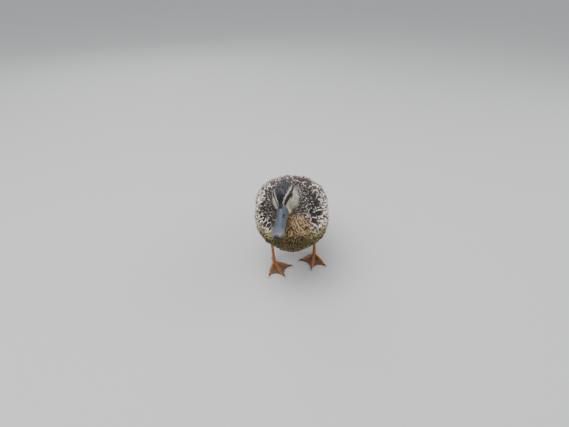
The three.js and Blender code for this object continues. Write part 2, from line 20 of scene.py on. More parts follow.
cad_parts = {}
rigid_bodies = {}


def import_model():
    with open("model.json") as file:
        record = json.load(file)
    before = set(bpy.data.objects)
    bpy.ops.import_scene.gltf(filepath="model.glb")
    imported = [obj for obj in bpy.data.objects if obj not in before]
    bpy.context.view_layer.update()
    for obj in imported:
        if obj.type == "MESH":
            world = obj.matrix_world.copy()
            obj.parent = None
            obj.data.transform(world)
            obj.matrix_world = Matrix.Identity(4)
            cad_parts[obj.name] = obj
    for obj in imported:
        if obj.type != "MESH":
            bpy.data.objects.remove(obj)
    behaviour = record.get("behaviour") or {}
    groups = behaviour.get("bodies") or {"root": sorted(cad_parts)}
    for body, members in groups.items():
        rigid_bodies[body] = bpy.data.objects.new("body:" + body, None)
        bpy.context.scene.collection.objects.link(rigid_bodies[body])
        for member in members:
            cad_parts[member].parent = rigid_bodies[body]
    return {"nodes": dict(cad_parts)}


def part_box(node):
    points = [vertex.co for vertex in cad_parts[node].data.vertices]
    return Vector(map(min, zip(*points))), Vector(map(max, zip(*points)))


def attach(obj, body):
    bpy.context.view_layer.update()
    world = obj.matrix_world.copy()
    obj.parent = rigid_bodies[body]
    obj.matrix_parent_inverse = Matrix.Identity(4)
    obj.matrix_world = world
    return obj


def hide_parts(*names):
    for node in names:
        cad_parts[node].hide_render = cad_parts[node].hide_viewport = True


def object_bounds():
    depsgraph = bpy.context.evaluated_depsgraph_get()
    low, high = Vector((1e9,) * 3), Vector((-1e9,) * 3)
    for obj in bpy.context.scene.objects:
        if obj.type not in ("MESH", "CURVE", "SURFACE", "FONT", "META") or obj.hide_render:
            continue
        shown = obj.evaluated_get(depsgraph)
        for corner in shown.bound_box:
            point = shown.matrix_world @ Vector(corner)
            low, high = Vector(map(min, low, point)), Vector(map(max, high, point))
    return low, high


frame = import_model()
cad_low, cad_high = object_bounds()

MM = 0.001
print("solids:", len(frame["nodes"]), "box in mm:", [round(v / MM) for v in cad_high - cad_low])


# %% [markdown]
# ## Camera, floor and light
# She is seen from half a metre above the ground and half a metre in front, as by someone who crouches
# before her. The floor is plain and pale. One large lamp overhead and weaker ones beside and behind
# give the flat light of a cloudy day, so that colour comes from the plumage.

# %% Camera
CAMERA_PITCH = math.radians(31)
CAMERA_LENS = 28.1
CAMERA_PLACE = (cad_low.x + 0.0533, cad_low.y - 0.5489, 0.5191)

camera_data = bpy.data.cameras.new("camera")
camera_data.lens = CAMERA_LENS
camera_data.sensor_width = 36
camera = bpy.data.objects.new("camera", camera_data)
camera.location = CAMERA_PLACE
camera.rotation_euler = (math.pi / 2 - CAMERA_PITCH, 0, 0)
bpy.context.scene.collection.objects.link(camera)
bpy.context.scene.camera = camera
print("camera height:", camera.location.z)

# %% [markdown]
# ## Small helpers
# Every piece needs a mesh, and every finish a few shader nodes. Each could be set up by hand with a
# dozen lines. Four short functions do that instead, so that later cells show only what is special about
# them.

# %% Helpers for meshes and materials
def mesh_object(name, points, faces):
    """A new, smoothly shaded mesh object at the origin, made from plain lists or arrays."""
    mesh = bpy.data.meshes.new(name)
    mesh.from_pydata([tuple(p) for p in points], [], [tuple(f) for f in faces])
    mesh.validate()
    mesh.polygons.foreach_set("use_smooth", [True] * len(mesh.polygons))
    made = bpy.data.objects.new(name, mesh)
    bpy.context.scene.collection.objects.link(made)
    return made


def new_material(name):
    """An empty material and its node tree."""
    material = bpy.data.materials.new(name)
    material.use_nodes = True
    material.node_tree.nodes.clear()
    return material, material.node_tree


def add(tree, kind, inputs=None, **settings):
    """Adds a node. Inputs may be plain values or other nodes' outputs."""
    node = tree.nodes.new(kind)
    for key, value in settings.items():
        setattr(node, key, value)
    for key, value in (inputs or {}).items():
        if isinstance(value, bpy.types.NodeSocket):
            tree.links.new(value, node.inputs[key])
        else:
            node.inputs[key].default_value = value
    return node


def finish_with(tree, **sockets):
    """Ends a material with one Principled BSDF."""
    names = {key.replace("_", " ").title(): value for key, value in sockets.items()}
    names = {{"Ior": "IOR"}.get(key, key): value for key, value in names.items()}
    shader = add(tree, "ShaderNodeBsdfPrincipled", names)
    add(tree, "ShaderNodeOutputMaterial", {"Surface": shader.outputs[0]})
    return shader


print("helpers: mesh_object, new_material, add, finish_with")

# %% Floor
FLOOR_HALF = 9.0
FLOOR_COLOUR = (0.60, 0.60, 0.585, 1)
corners = [
    (-FLOOR_HALF, -FLOOR_HALF, 0),
    (FLOOR_HALF, -FLOOR_HALF, 0),
    (FLOOR_HALF, FLOOR_HALF, 0),
    (-FLOOR_HALF, FLOOR_HALF, 0),
]
floor = mesh_object("floor", corners, [(0, 1, 2, 3)])
floor_material, tree = new_material("floor_paper")
finish_with(tree, base_color=FLOOR_COLOUR, roughness=0.9)
floor.data.materials.append(floor_material)
print("floor, width in m:", 2 * FLOOR_HALF)

# %% Sky and lamps
SKY_COLOUR = (0.83, 0.86, 0.9, 1)
SKY_STRENGTH = 0.74
LAMP_AIM = (0, 0, 0.1)
world = bpy.data.worlds.new("sky")
world.use_nodes = True
world.node_tree.nodes["Background"].inputs["Color"].default_value = SKY_COLOUR
world.node_tree.nodes["Background"].inputs["Strength"].default_value = SKY_STRENGTH
bpy.context.scene.world = world


def lamp(name, place, size, power):
    """A square lamp that looks at the middle of the model."""
    data = bpy.data.lights.new(name, "AREA")
    data.size = size
    data.energy = power
    made = bpy.data.objects.new(name, data)
    made.location = place
    made.rotation_euler = (Vector(LAMP_AIM) - Vector(place)).to_track_quat("-Z", "Y").to_euler()
    bpy.context.scene.collection.objects.link(made)


lamp("overhead", (-0.5, -0.5, 1.9), 1.7, 40)
lamp("side", (1.5, 0.3, 1.1), 1.2, 9)
lamp("behind", (-0.7, 1.5, 1.2), 1.2, 8)
print("lamps: overhead, side, behind")


# %% [markdown]
# ## Two sets of axes
# Markings on the head follow the head, which is turned and tilted, and those on the body follow the
# body. The head's axes are found from three solids that sit on it: both eyes and the nail of the bill.

# %% Head axes from the eyes and the nail
# places in the head's own axes, in millimetres: x to her left, y back, z up
EYE_PLACE = (11.4, 24, 20.5)
NAIL_PLACE = (0, -50, 2)


def middle_of(node):
    """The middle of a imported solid's box, in millimetres."""
    low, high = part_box(node)
    return np.array((low + high) / 2) / MM


left_eye, right_eye, nail = middle_of("eye_left"), middle_of("eye_right"), middle_of("bill_nail")
head_x = (left_eye - right_eye) / np.linalg.norm(left_eye - right_eye)
eyes_middle = (left_eye + right_eye) / 2
forward = nail - eyes_middle
forward -= head_x * (forward @ head_x)
forward /= np.linalg.norm(forward)
drop = np.subtract(NAIL_PLACE, EYE_PLACE)[1:]
drop = drop / np.linalg.norm(drop)
square = np.cross(head_x, forward)
head_y = drop[0] * forward - drop[1] * square
head_z = drop[1] * forward + drop[0] * square
HEAD_AXES = np.array([head_x, head_y, head_z])
HEAD_ORIGIN = eyes_middle - EYE_PLACE[1] * head_y - EYE_PLACE[2] * head_z
print("gape, in mm:", HEAD_ORIGIN.round(1))


def in_head(points):
    """Row-frame millimetres to the head's own axes."""
    return (points - HEAD_ORIGIN) @ HEAD_AXES.T


def from_head(points):
    """The head's own axes to row-frame millimetres."""
    return np.asarray(points, float) @ HEAD_AXES + HEAD_ORIGIN


# %% Body axes from the trunk's box
trunk_low, trunk_high = (np.array(v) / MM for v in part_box("trunk"))
BODY_MIDDLE = (trunk_low[0] + trunk_high[0]) / 2
BREAST_Y = trunk_low[1]
SHOULDER = 68  # from the front of the breast to the widest place of the body, in mm
SHOULDER_Y = BREAST_Y + SHOULDER
AXIS_HEIGHT = 120  # of the line through the middle of the body, at the shoulder
AXIS_FALL, AXIS_RISE = -0.144, 0.185  # its slope behind the shoulder, and in front of it


def smoothstep(low, high, value):
    """0 at low, 1 at high, and a soft S between them. low may be the larger one."""
    t = np.clip((value - low) / (high - low), 0, 1)
    return t * t * (3 - 2 * t)


def around_body(points):
    """Distance sideways and behind the breast, height, and angle from the back (0) to the belly (180)."""
    x = points[:, 0] - BODY_MIDDLE
    y = points[:, 1] - BREAST_Y
    z = points[:, 2]
    slope = np.where(points[:, 1] > SHOULDER_Y, AXIS_FALL, AXIS_RISE)
    axis = AXIS_HEIGHT + slope * (y - SHOULDER)
    return x, y, z, np.degrees(np.arctan2(np.abs(x), z - axis))


print("breast front:", BREAST_Y.round(1), "middle:", BODY_MIDDLE.round(1))


# %% [markdown]
# ## Head, neck and body
# A duck shows no seam between head, neck and body, but their feathers differ in size, lie and colour.
# Each place could belong to the nearest solid, but that leaves hard edges. Two functions say instead
# how much of a place is head and how much is neck, and later values blend by these shares.

# %% Shares of head and neck
SKULL = (  # balls that together fill the head: middle and radii in the head's axes
    ((0, 31, 17), (15, 26, 19.5)),
    ((8, 33, 3), (13.5, 21, 16)),
    ((-8, 33, 3), (13.5, 21, 16)),
    ((0, 21, -2), (10.5, 20, 12)),
    ((0, 14, 11), (10.5, 15, 11)),
    ((0, 0, 11), (6, 7, 9)),
)


def outside_skull(points):
    """Millimetres outside the head proper, less than nothing within it."""
    h = in_head(points)
    found = []
    for middle, radii in SKULL:
        q = (h - middle) / radii
        near = np.linalg.norm(q, axis=1)
        found.append(near * (near - 1) / np.maximum(np.linalg.norm(q / radii, axis=1), 1e-6))
    return np.min(found, axis=0)


def head_share(points):
    """1 on the head, 0 on the body."""
    h = in_head(points)
    level = np.sqrt((h[:, 0] / 33) ** 2 + ((h[:, 1] - 21) / 45) ** 2 + ((h[:, 2] - 8) / 36) ** 2)
    rim = np.interp(h[:, 1], (8, 24, 46), (0.9, 1.5, 2.8))
    return (1 - smoothstep(0.95, 1.1, level)) * smoothstep(rim + 1, rim - 1, outside_skull(points))


NECK_MIDDLE = HEAD_ORIGIN + (8.6, 25, 0.6)
NECK_RADII = (38, 37, 40)


def neck_share(points):
    """1 on the neck, 0 on the head and on the body."""
    level = np.linalg.norm((points - NECK_MIDDLE) / NECK_RADII, axis=1)
    return (1 - smoothstep(0.85, 1.15, level)) * (1 - head_share(points))


print("balls in the skull:", len(SKULL), "middle of the neck in mm:", NECK_MIDDLE.round(1))


# %% [markdown]
# ## The skin
# Under the feathers is one unbroken skin. The solids of head, neck, trunk, wings and thighs are fused
# by a voxel remesh, which closes the narrow joints between them. The result is smoothed and drawn in by
# the depth of the coat: about 3 mm on the body and 1 mm on the face.

# %% Fuse the solids of flesh
FLESH = ["head", "neck", "trunk", "wing_left", "wing_right", "thigh_left", "thigh_right"]
SKIN_VOXEL = 2.0 * MM
SKIN_SMOOTHING = 8
SOCKET_RADIUS = 5.6  # of the ball that fills an eye's place in the solid of the head


def plain_mesh(source):
    """The evaluated mesh of an object as new data, with no modifiers left."""
    graph = bpy.context.evaluated_depsgraph_get()
    return bpy.data.meshes.new_from_object(source.evaluated_get(graph))


def fused(name, nodes, voxel, smoothing, plugs=()):
    """One smooth closed mesh from several solids. Each plug is the matrix of an extra ball to fuse in."""
    shell = bmesh.new()
    for node in nodes:
        shell.from_mesh(frame["nodes"][node].data)
    bmesh.ops.remove_doubles(shell, verts=shell.verts, dist=1e-6)
    for plug in plugs:
        bmesh.ops.create_icosphere(shell, subdivisions=3, radius=1, matrix=plug)
    mesh = bpy.data.meshes.new(name)
    shell.to_mesh(mesh)
    shell.free()
    made = bpy.data.objects.new(name, mesh)
    bpy.context.scene.collection.objects.link(made)
    remesh = made.modifiers.new("fuse", "REMESH")
    remesh.mode = "VOXEL"
    remesh.voxel_size = voxel
    smooth = made.modifiers.new("smooth", "SMOOTH")
    smooth.factor = 0.5
    smooth.iterations = smoothing
    mesh = plain_mesh(made)
    made.modifiers.clear()
    made.data = mesh
    mesh.polygons.foreach_set("use_smooth", [True] * len(mesh.polygons))
    return made


def ball_in_head(centre, radii):
    """The matrix of a ball given in the head's own millimetres."""
    turn = Matrix(HEAD_AXES.T.tolist()).to_4x4()
    return Matrix.Translation(Vector(from_head(centre)) * MM) @ turn @ Matrix.Diagonal(
        (*[r * MM for r in radii], 1)
    )


eye_balls = [
    ball_in_head(np.multiply(EYE_PLACE, (side, 1, 1)), [SOCKET_RADIUS] * 3) for side in (1, -1)
]
bill_root = ball_in_head((0, 8, 6), (8.6, 9.5, 9.5))
# the point of feathers that runs on to the bill
forehead = ball_in_head((0, 0.5, 10.8), (5.4, 6.2, 9.2))
skin = fused("skin", FLESH, SKIN_VOXEL, SKIN_SMOOTHING, [*eye_balls, bill_root, forehead])
print("skin faces:", len(skin.data.polygons))

# %% Draw the skin in by the depth of the coat
COLLAR_CREASE = 2.6  # how much deeper the skin lies in the fold where the head meets the drawn-in neck
COAT_DEPTH = {"face": 0.9, "head": 1.2, "neck": 2.2, "body": 3.2, "thigh": 1.6}


def points_of(mesh):
    """The vertices of a mesh as an array, in millimetres."""
    flat = np.empty(len(mesh.vertices) * 3)
    mesh.vertices.foreach_get("co", flat)
    return flat.reshape(-1, 3) / MM


def normals_of(mesh):
    """The normals at the vertices of a mesh."""
    flat = np.empty(len(mesh.vertices) * 3)
    mesh.vertex_normals.foreach_get("vector", flat)
    return flat.reshape(-1, 3)


def move_points(mesh, points):
    """Moves the vertices of a mesh to places given in millimetres."""
    mesh.vertices.foreach_set("co", (points * MM).ravel())
    mesh.update()


def coat_depth(points):
    """How far the skin lies inside the outline of the feathers, in millimetres."""
    head, neck = head_share(points), neck_share(points)
    face = 1 - smoothstep(4, 22, in_head(points)[:, 1])
    on_head = COAT_DEPTH["head"] + (COAT_DEPTH["face"] - COAT_DEPTH["head"]) * face
    low = smoothstep(64, 54, points[:, 2])
    on_body = COAT_DEPTH["body"] + (COAT_DEPTH["thigh"] - COAT_DEPTH["body"]) * low
    beyond = outside_skull(points)
    crease = COLLAR_CREASE * smoothstep(0.5, 3.5, beyond) * smoothstep(13, 6, beyond)
    return head * on_head + neck * COAT_DEPTH["neck"] + (1 - head - neck) * on_body + crease


outer = points_of(skin.data)
move_points(skin.data, outer - normals_of(skin.data) * coat_depth(outer)[:, None])
skin_points, skin_normals = points_of(skin.data), normals_of(skin.data)
print("coat depth, mm:", coat_depth(outer).min().round(2), "to", coat_depth(outer).max().round(2))

# %% Keep what the feathers need to find on the skin
skin.data.attributes.new("outward", "FLOAT_VECTOR", "POINT").data.foreach_set(
    "vector", skin_normals.ravel()
)
skin.data.calc_loop_triangles()
skin_triangles = np.empty(len(skin.data.loop_triangles) * 3, int)
skin.data.loop_triangles.foreach_get("vertices", skin_triangles)
skin_triangles = skin_triangles.reshape(-1, 3)
skin_tree = BVHTree.FromPolygons(skin_points.tolist(), skin_triangles.tolist())
print("skin triangles:", len(skin_triangles))


# %% [markdown]
# ## Markings
# A hen mallard is brown all over, but no two parts of her are the same brown. Each feather has a dark
# middle and a pale fringe, and on the back and flanks a second pale arc inside the dark. One function
# gives both colours and the shape of the mark for any place on the body, so the skin and every coat
# piece agree.

# %% Colours of the plumage
def paint(red, green, blue):
    """An sRGB colour in 0 to 255 as linear light."""
    c = np.array((red, green, blue)) / 255
    return np.where(c <= 0.04045, c / 12.92, ((c + 0.055) / 1.055) ** 2.4)


# dark middle, pale fringe, and (width of the fringe, strength of the inner arc, narrowness of the middle)
PLUMAGE = {
    "mantle": (paint(30, 15, 11), paint(250, 234, 222), (0.33, 0.15, 0.9)),
    "back": (paint(26, 13, 10), paint(246, 224, 212), (0.11, 0.10, 0.85)),
    "flank": (paint(34, 19, 12), paint(252, 239, 214), (0.31, 0.15, 0.95)),
    "side": (paint(46, 32, 24), paint(214, 188, 156), (0.15, 0.65, 1.0)),
    "collar": (paint(20, 13, 11), paint(244, 228, 216), (0.18, 0.0, 0.8)),
    # painted shade for the fold where the head meets the neck
    "hollow_shade": (paint(14, 9, 8), paint(150, 130, 114), (0.13, 0.0, 0.8)),
    "breast": (paint(52, 37, 24), paint(180, 148, 104), (0.29, 0.0, 2.2)),
    "skirt": (paint(54, 44, 24), paint(162, 148, 98), (0.33, 0.0, 1.4)),
    # the belly's colours are darkened as painted shade under the body, and their olive cast is partly
    # painted light from the grass
    "belly": (paint(20, 16, 8), paint(107, 92, 42), (0.24, 0.0, 1.7)),
    "rump": (paint(30, 21, 19), paint(196, 166, 130), (0.14, 0.5, 0.9)),
    "vent": (paint(84, 62, 44), paint(222, 205, 174), (0.5, 0.0, 1.6)),
    "thigh": (paint(92, 72, 46), paint(160, 134, 90), (0.45, 0.0, 1.4)),
    "nape": (paint(24, 22, 22), paint(126, 118, 110), (0.16, 0.0, 1.2)),
    "throat": (paint(84, 66, 44), paint(158, 134, 98), (0.35, 0.0, 1.5)),
    "cheek": (paint(138, 133, 116), paint(204, 199, 182), (0.50, 0.0, 2.0)),
    "lore": (paint(206, 194, 148), paint(240, 230, 190), (0.5, 0.0, 2.0)),
    "brow": (paint(172, 168, 156), paint(232, 227, 214), (0.5, 0.0, 2.0)),
    "stripe": (paint(26, 20, 17), paint(66, 55, 46), (0.25, 0.0, 1.6)),
    # the grey-blue lean of the crown's and forehead's pale is partly fine streaks and partly painted sheen
    # of the sky
    "crown": (paint(10, 11, 15), paint(110, 111, 116), (0.12, 0.0, 1.1)),
    "forehead": (paint(5, 6, 9), paint(62, 66, 74), (0.10, 0.0, 1.2)),
}


print("kinds of plumage:", ", ".join(PLUMAGE))


# %% [markdown]
# ## The face
# A hen's face is drawn in stripes, of which the dark line through the eye and the pale brow above it
# show most. They could be painted on by hand. Here each stripe is a band of angles round the axis of
# the head, whose middle and width change from the bill to the nape, so every feather can look up where
# it stands.

# %% Markings of the head
def bump_at(value, middle, width):
    """1 within width of the middle, fading to 0 over the same width again."""
    return 1 - smoothstep(1, 1.7, np.abs(value - middle) / width)


def head_regions(points):
    """Shares of the head's markings, painted over each other in order."""
    h = in_head(points)
    x, y, z = np.abs(h[:, 0]), h[:, 1], h[:, 2]
    axis = np.interp(y, (0, 10, 26, 60), (8.5, 10.5, 16, 16))
    # 90 on the crown's midline, 0 level with the eye, -90 on the chin
    lift = np.degrees(np.arctan2(z - axis, x))
    brow = np.interp(y, (0, 4, 8, 14, 23, 34, 46, 54), (60, 64, 67, 60, 43, 32, 27, 24))
    brow_half = np.interp(y, (0, 8, 16, 23, 34, 52), (1.9, 2.1, 3.4, 4.2, 4.6, 3.5))
    stripe = np.interp(y, (0, 4, 8, 13, 23, 34, 42, 58), (40, 44, 45, 41, 23, 16, 12, 4))
    stripe_half = np.interp(y, (0, 4, 8, 13, 23, 34, 50, 62), (9, 10, 11, 10, 10, 8, 7, 10))
    back = smoothstep(52, 62, y)
    # the ruff stands higher on the side she turns to
    tucked = smoothstep(2, -8, h[:, 0]) * smoothstep(10, 20, y)
    jaw = np.interp(y, (0, 7, 13, 18, 26, 34, 41, 46), (-3, -4, -4, -3, -1, 2, 9, 15)) + 5 * tucked
    below = smoothstep(1.2, -1.2, z - jaw)
    on_crown = smoothstep(brow - 3, brow + 3, lift)
    whole_brow = bump_at(lift, brow, brow_half) * (1 - back)
    return [
        ("cheek", np.ones_like(x)),
        ("throat", below),
        ("collar", np.maximum(smoothstep(39, 44, y), below * smoothstep(19, 27, y))),
        ("lore", bump_at(y, 6, 4.5) * bump_at(lift, -42, 18)),
        ("crown", on_crown),
        ("forehead", on_crown * smoothstep(18, 9, y)),
        ("brow", whole_brow * np.interp(y, (6, 12, 19, 26), (0.85, 0.55, 0.65, 1))),
        ("stripe", bump_at(lift, stripe, stripe_half)),
        ("nape", back * smoothstep(-35, -10, lift)),
    ]


print("regions of the head:", ", ".join(dict(head_regions(HEAD_ORIGIN[None]))))


# %% [markdown]
# ## The markings of the body
# On the body one kind of plumage passes into the next: dark on the back, warmer and more broadly
# fringed on the flanks, dull below. The colours below are darkened as painted shade under the body, and
# the belly's olive cast is partly painted light from the grass. Places are told apart by their angles
# round the body and from straight ahead, with soft limits, because a hard line between two kinds would
# never be seen on a bird.

# %% Markings of the body and the neck
def body_regions(points):
    """Shares of the body's markings, painted over each other in order."""
    x, y, z, turn = around_body(points)
    # 0 straight ahead, 90 to the side
    ahead = np.degrees(np.arctan2(np.abs(x), SHOULDER_Y - points[:, 1]))
    front = smoothstep(38, 26, ahead) * smoothstep(SHOULDER_Y + 6, SHOULDER_Y - 14, points[:, 1])
    beneath = smoothstep(80, 56, ahead) * smoothstep(SHOULDER_Y + 6, SHOULDER_Y - 8, points[:, 1])
    hem = np.interp(ahead, (16, 32), (123, 114))  # how high the dark of the belly reaches
    return [
        ("mantle", np.ones_like(x)),
        ("back", smoothstep(48, 30, turn)),
        ("flank", smoothstep(50, 68, turn)),
        ("side", 0.9 * smoothstep(84, 130, y)),
        # painted shade in the fold under the head, low on the neck
        ("hollow_shade", 0.75 * smoothstep(13, 6, outside_skull(points)) * smoothstep(164, 154, z)),
        ("rump", smoothstep(150, 185, y) * smoothstep(75, 55, turn)),
        ("breast", front * smoothstep(157, 148, z)),
        ("skirt", beneath * smoothstep(16, 30, ahead) * smoothstep(hem + 18, hem + 6, z)),
        # the dark of the belly is partly painted shade under the body
        ("belly", np.maximum(smoothstep(112, 130, turn), beneath * smoothstep(hem + 7, hem - 7, z))),
        ("vent", smoothstep(178, 205, y) * smoothstep(88, 104, turn)),
        ("thigh", smoothstep(64, 56, z) * smoothstep(8, 22, np.abs(x))),
    ]


def neck_regions(points):
    """The neck's markings: dark at the sides and back, painted shade in the fold under the head, and the
    colour of the breast in front.
    """
    shares = dict(body_regions(points))
    return [("collar", np.ones(len(points))), ("hollow_shade", shares["hollow_shade"]), ("breast", shares["breast"])]


print("regions of the body:", ", ".join(dict(body_regions(HEAD_ORIGIN[None]))))


# %% Colours and mark for any place
def painted(regions, count):
    """Mixes the plumage of the regions, each painted over the ones before it."""
    dark, pale, mark = np.zeros((count, 3)), np.zeros((count, 3)), np.zeros((count, 3))
    for name, share in regions:
        share = np.clip(share, 0, 1)[:, None]
        for value, new in zip((dark, pale, mark), PLUMAGE[name]):
            value += share * (np.asarray(new) - value)
    return dark, pale, mark


def plumage(points):
    """Dark colour, pale colour and mark for each place, in row-frame millimetres."""
    head, neck = head_share(points)[:, None], neck_share(points)[:, None]
    head, neck = smoothstep(0.4, 0.7, head), np.minimum(neck, 1 - smoothstep(0.4, 0.7, head))
    makers = (head_regions, neck_regions, body_regions)
    parts = [painted(regions(points), len(points)) for regions in makers]
    shares = (head, neck, 1 - head - neck)
    return [sum(share * part[k] for share, part in zip(shares, parts)) for k in range(3)]


print("plumage regions:", len(PLUMAGE))


# %% [markdown]
# ## The lie of the coat
# Every feather points away from the bill. On the head and back that is towards the tail, and on the
# front of the breast it turns down and outwards. A vector is given for each place and then pressed flat
# against the skin.

# %% Direction of the feathers
def unit(vectors):
    """Each vector of an array made one unit long."""
    return vectors / np.maximum(np.linalg.norm(vectors, axis=1), 1e-9)[:, None]


def lie_of_coat(points, normals):
    """The direction from root to tip of a feather at each place."""
    x, _, z, turn = around_body(points)
    h = in_head(points)
    head, neck = head_share(points)[:, None], neck_share(points)[:, None]
    fan = 0.012 * h[:, 0]
    on_head = np.stack([fan, np.ones_like(fan), -0.7 * smoothstep(34, 58, h[:, 1])], 1) @ HEAD_AXES
    behind = smoothstep(30, 60, h[:, 1])
    on_neck = np.stack([0.012 * h[:, 0] * (1 - behind), 0.25 + 0.9 * behind, -1 + 0.75 * behind], 1)
    front = smoothstep(SHOULDER_Y + 4, SHOULDER_Y - 50, points[:, 1]) * smoothstep(168, 138, z)
    back = np.stack([0.10 * x / 60, np.ones_like(x), 0.14 * bump_at(turn, 95, 18) - 0.1], 1)
    breast = np.stack([0.75 * x / 50, np.full_like(x, 0.3), np.full_like(x, -0.9)], 1)
    on_body = back + front[:, None] * (breast - back)
    leg = (smoothstep(64, 54, z) * smoothstep(8, 22, np.abs(x)))[:, None]
    on_body += leg * ((0, 0.35, -1) - on_body)
    lie = head * unit(on_head) + neck * unit(on_neck) + (1 - head - neck) * unit(on_body)
    flat = lie - normals * np.sum(lie * normals, axis=1)[:, None]
    return unit(flat)


on_back = lie_of_coat(np.array([[0.0, 60.0, 180.0]]), np.array([[0.0, 0.0, 1.0]]))
print("lie on top of the back:", on_back[0].round(2))


# %% [markdown]
# ## The size of the feathers
# Feathers are smallest on the face and grow longer towards the tail. Their size could be painted as a
# map. A distance between neighbours in millimetres is simpler, and length and width follow from it.

# %% Spacing of the feathers
SPACING = {"face": 0.85, "head": 1.15, "nape": 1.8, "neck": 2.4, "breast": 2.4, "skirt": 3.2}
SPACING.update(belly=2.7, thigh=2.5, flank=3.8, mantle=5.6, back=6.8)


def spacing(points):
    """Distance between neighbouring feathers, in millimetres."""
    y = around_body(points)[1]
    back_of_bill = in_head(points)[:, 1]
    head, neck = head_share(points), neck_share(points)
    steps = [SPACING[name] for name in ("face", "head", "head", "nape")]
    on_head = np.interp(back_of_bill, (2, 14, 36, 58), steps)
    share = dict(body_regions(points))
    share["flank"] = share["flank"] * (1 - share["side"])
    on_body = np.interp(y, (60, 140), (SPACING["mantle"], SPACING["back"]))
    for name in ("flank", "breast", "skirt", "belly", "thigh"):
        on_body += np.clip(share[name], 0, 1) * (SPACING[name] - on_body)
    beyond = outside_skull(points)
    on_neck = np.interp(beyond, (2, 8, 22), (SPACING["nape"], SPACING["neck"], 2 * SPACING["neck"]))
    on_body = np.minimum(on_body, np.interp(beyond, (5, 20), (4.9, SPACING["back"] + 2)))
    return head * on_head + neck * on_neck + (1 - head - neck) * on_body


print("spacing in mm, least and most:", min(SPACING.values()), max(SPACING.values()))

# %% [markdown]
# ## Where the feathers grow
# Feathers grow from follicles that stand evenly, like the knots of a net. They could be set out in
# rows, but rows show as soon as the body curves. Here random places are thinned until each keeps its
# own distance from the next. That distance is longer along the lie of the coat than across it.

# %% Scatter follicles evenly over the skin
CANDIDATES = {"head": 60000, "neck": 16000, "body": 90000}
ALONG_TO_ACROSS = 1.5  # feathers follow each other at a longer distance than they lie side by side
CLOSER = 0.92  # how much of its full distance each feather keeps
HEM = 0.3  # how far the neck's feathers run on into the body's, as a share


def candidates(rng, count, share):
    """Random places on the skin, by area, with their normals, where share is more than a half."""
    corners = skin_points[skin_triangles]
    area = np.linalg.norm(np.cross(corners[:, 1] - corners[:, 0], corners[:, 2] - corners[:, 0]), axis=1)
    area = area * (share(corners.mean(axis=1)) > 0.5)
    picked = rng.choice(len(area), count, p=area / area.sum())
    a, b = np.sort(rng.random((2, count)), axis=0)
    weights = np.stack([a, b - a, 1 - b], 1)[:, :, None]
    places = (corners[picked] * weights).sum(axis=1)
    return places, unit((skin_normals[skin_triangles[picked]] * weights).sum(axis=1))


def thinned(places, gap, lie):
    """Keeps places that have no kept neighbour within their own gap, or a longer gap along the lie."""
    cell = gap.max() * ALONG_TO_ACROSS
    shorter = 1 - 1 / ALONG_TO_ACROSS**2
    grid = {}
    kept = []
    keys = np.floor(places / cell).astype(int)
    rows = zip(places.tolist(), lie.tolist(), keys.tolist(), gap.tolist())
    for i, (p, way, (a, b, c), g) in enumerate(rows):
        crowded = False
        for key in product((a - 1, a, a + 1), (b - 1, b, b + 1), (c - 1, c, c + 1)):
            for q in grid.get(key, ()):
                x, y, z = p[0] - q[0], p[1] - q[1], p[2] - q[2]
                along = x * way[0] + y * way[1] + z * way[2]
                crowded = crowded or x * x + y * y + z * z - shorter * along * along < g * g
        if crowded:
            continue
        grid.setdefault((a, b, c), []).append(p)
        kept.append(i)
    return np.array(kept)


def neck_only(points):
    """The neck's share of what is not head, so that no place between the coats stays bare."""
    head = head_share(points)
    return np.where(head > 0.5, 0, neck_share(points) / np.maximum(1 - head, 0.5))


def body_only(points):
    """What is neither head nor neck."""
    return np.where(head_share(points) > 0.5, 0, 1 - neck_only(points))


def neck_and_hem(points):
    """The neck's own share, and a hem of it that runs on between the first large feathers of the body."""
    return np.where(head_share(points) > 0.5, 0, neck_only(points) + HEM)


rng = np.random.default_rng(11)
follicles = {}
for part, share in (("head", head_share), ("neck", neck_and_hem), ("body", body_only)):
    places, normals = candidates(rng, CANDIDATES[part], share)
    kept = thinned(places, spacing(places) * CLOSER, lie_of_coat(places, normals))
    follicles[part] = (places[kept], normals[kept])
    print(part, "feathers:", len(kept))


# %% [markdown]
# ## One feather
# A body feather is a shallow scoop: a rounded vane, arched across, thin at the rim. The shape is made
# once, flat and one unit long, with its own coordinates stored on it. Geometry Nodes later gives each
# copy its size, arch and curl.

# %% A closed vane with an arch, a rim and an underside
TIP_ROUNDNESS = 2.4


def vane_width(along, root, widest, point):
    """Half width of a vane from root (0) to tip (1), with its widest place between them."""
    opening = root + (1 - root) * np.sin(np.clip(along / widest, 0, 1) * math.pi / 2)
    past = np.clip((along - widest) / (1 - widest), 0, 1)
    return opening * np.power(1 - np.power(past, TIP_ROUNDNESS), point)


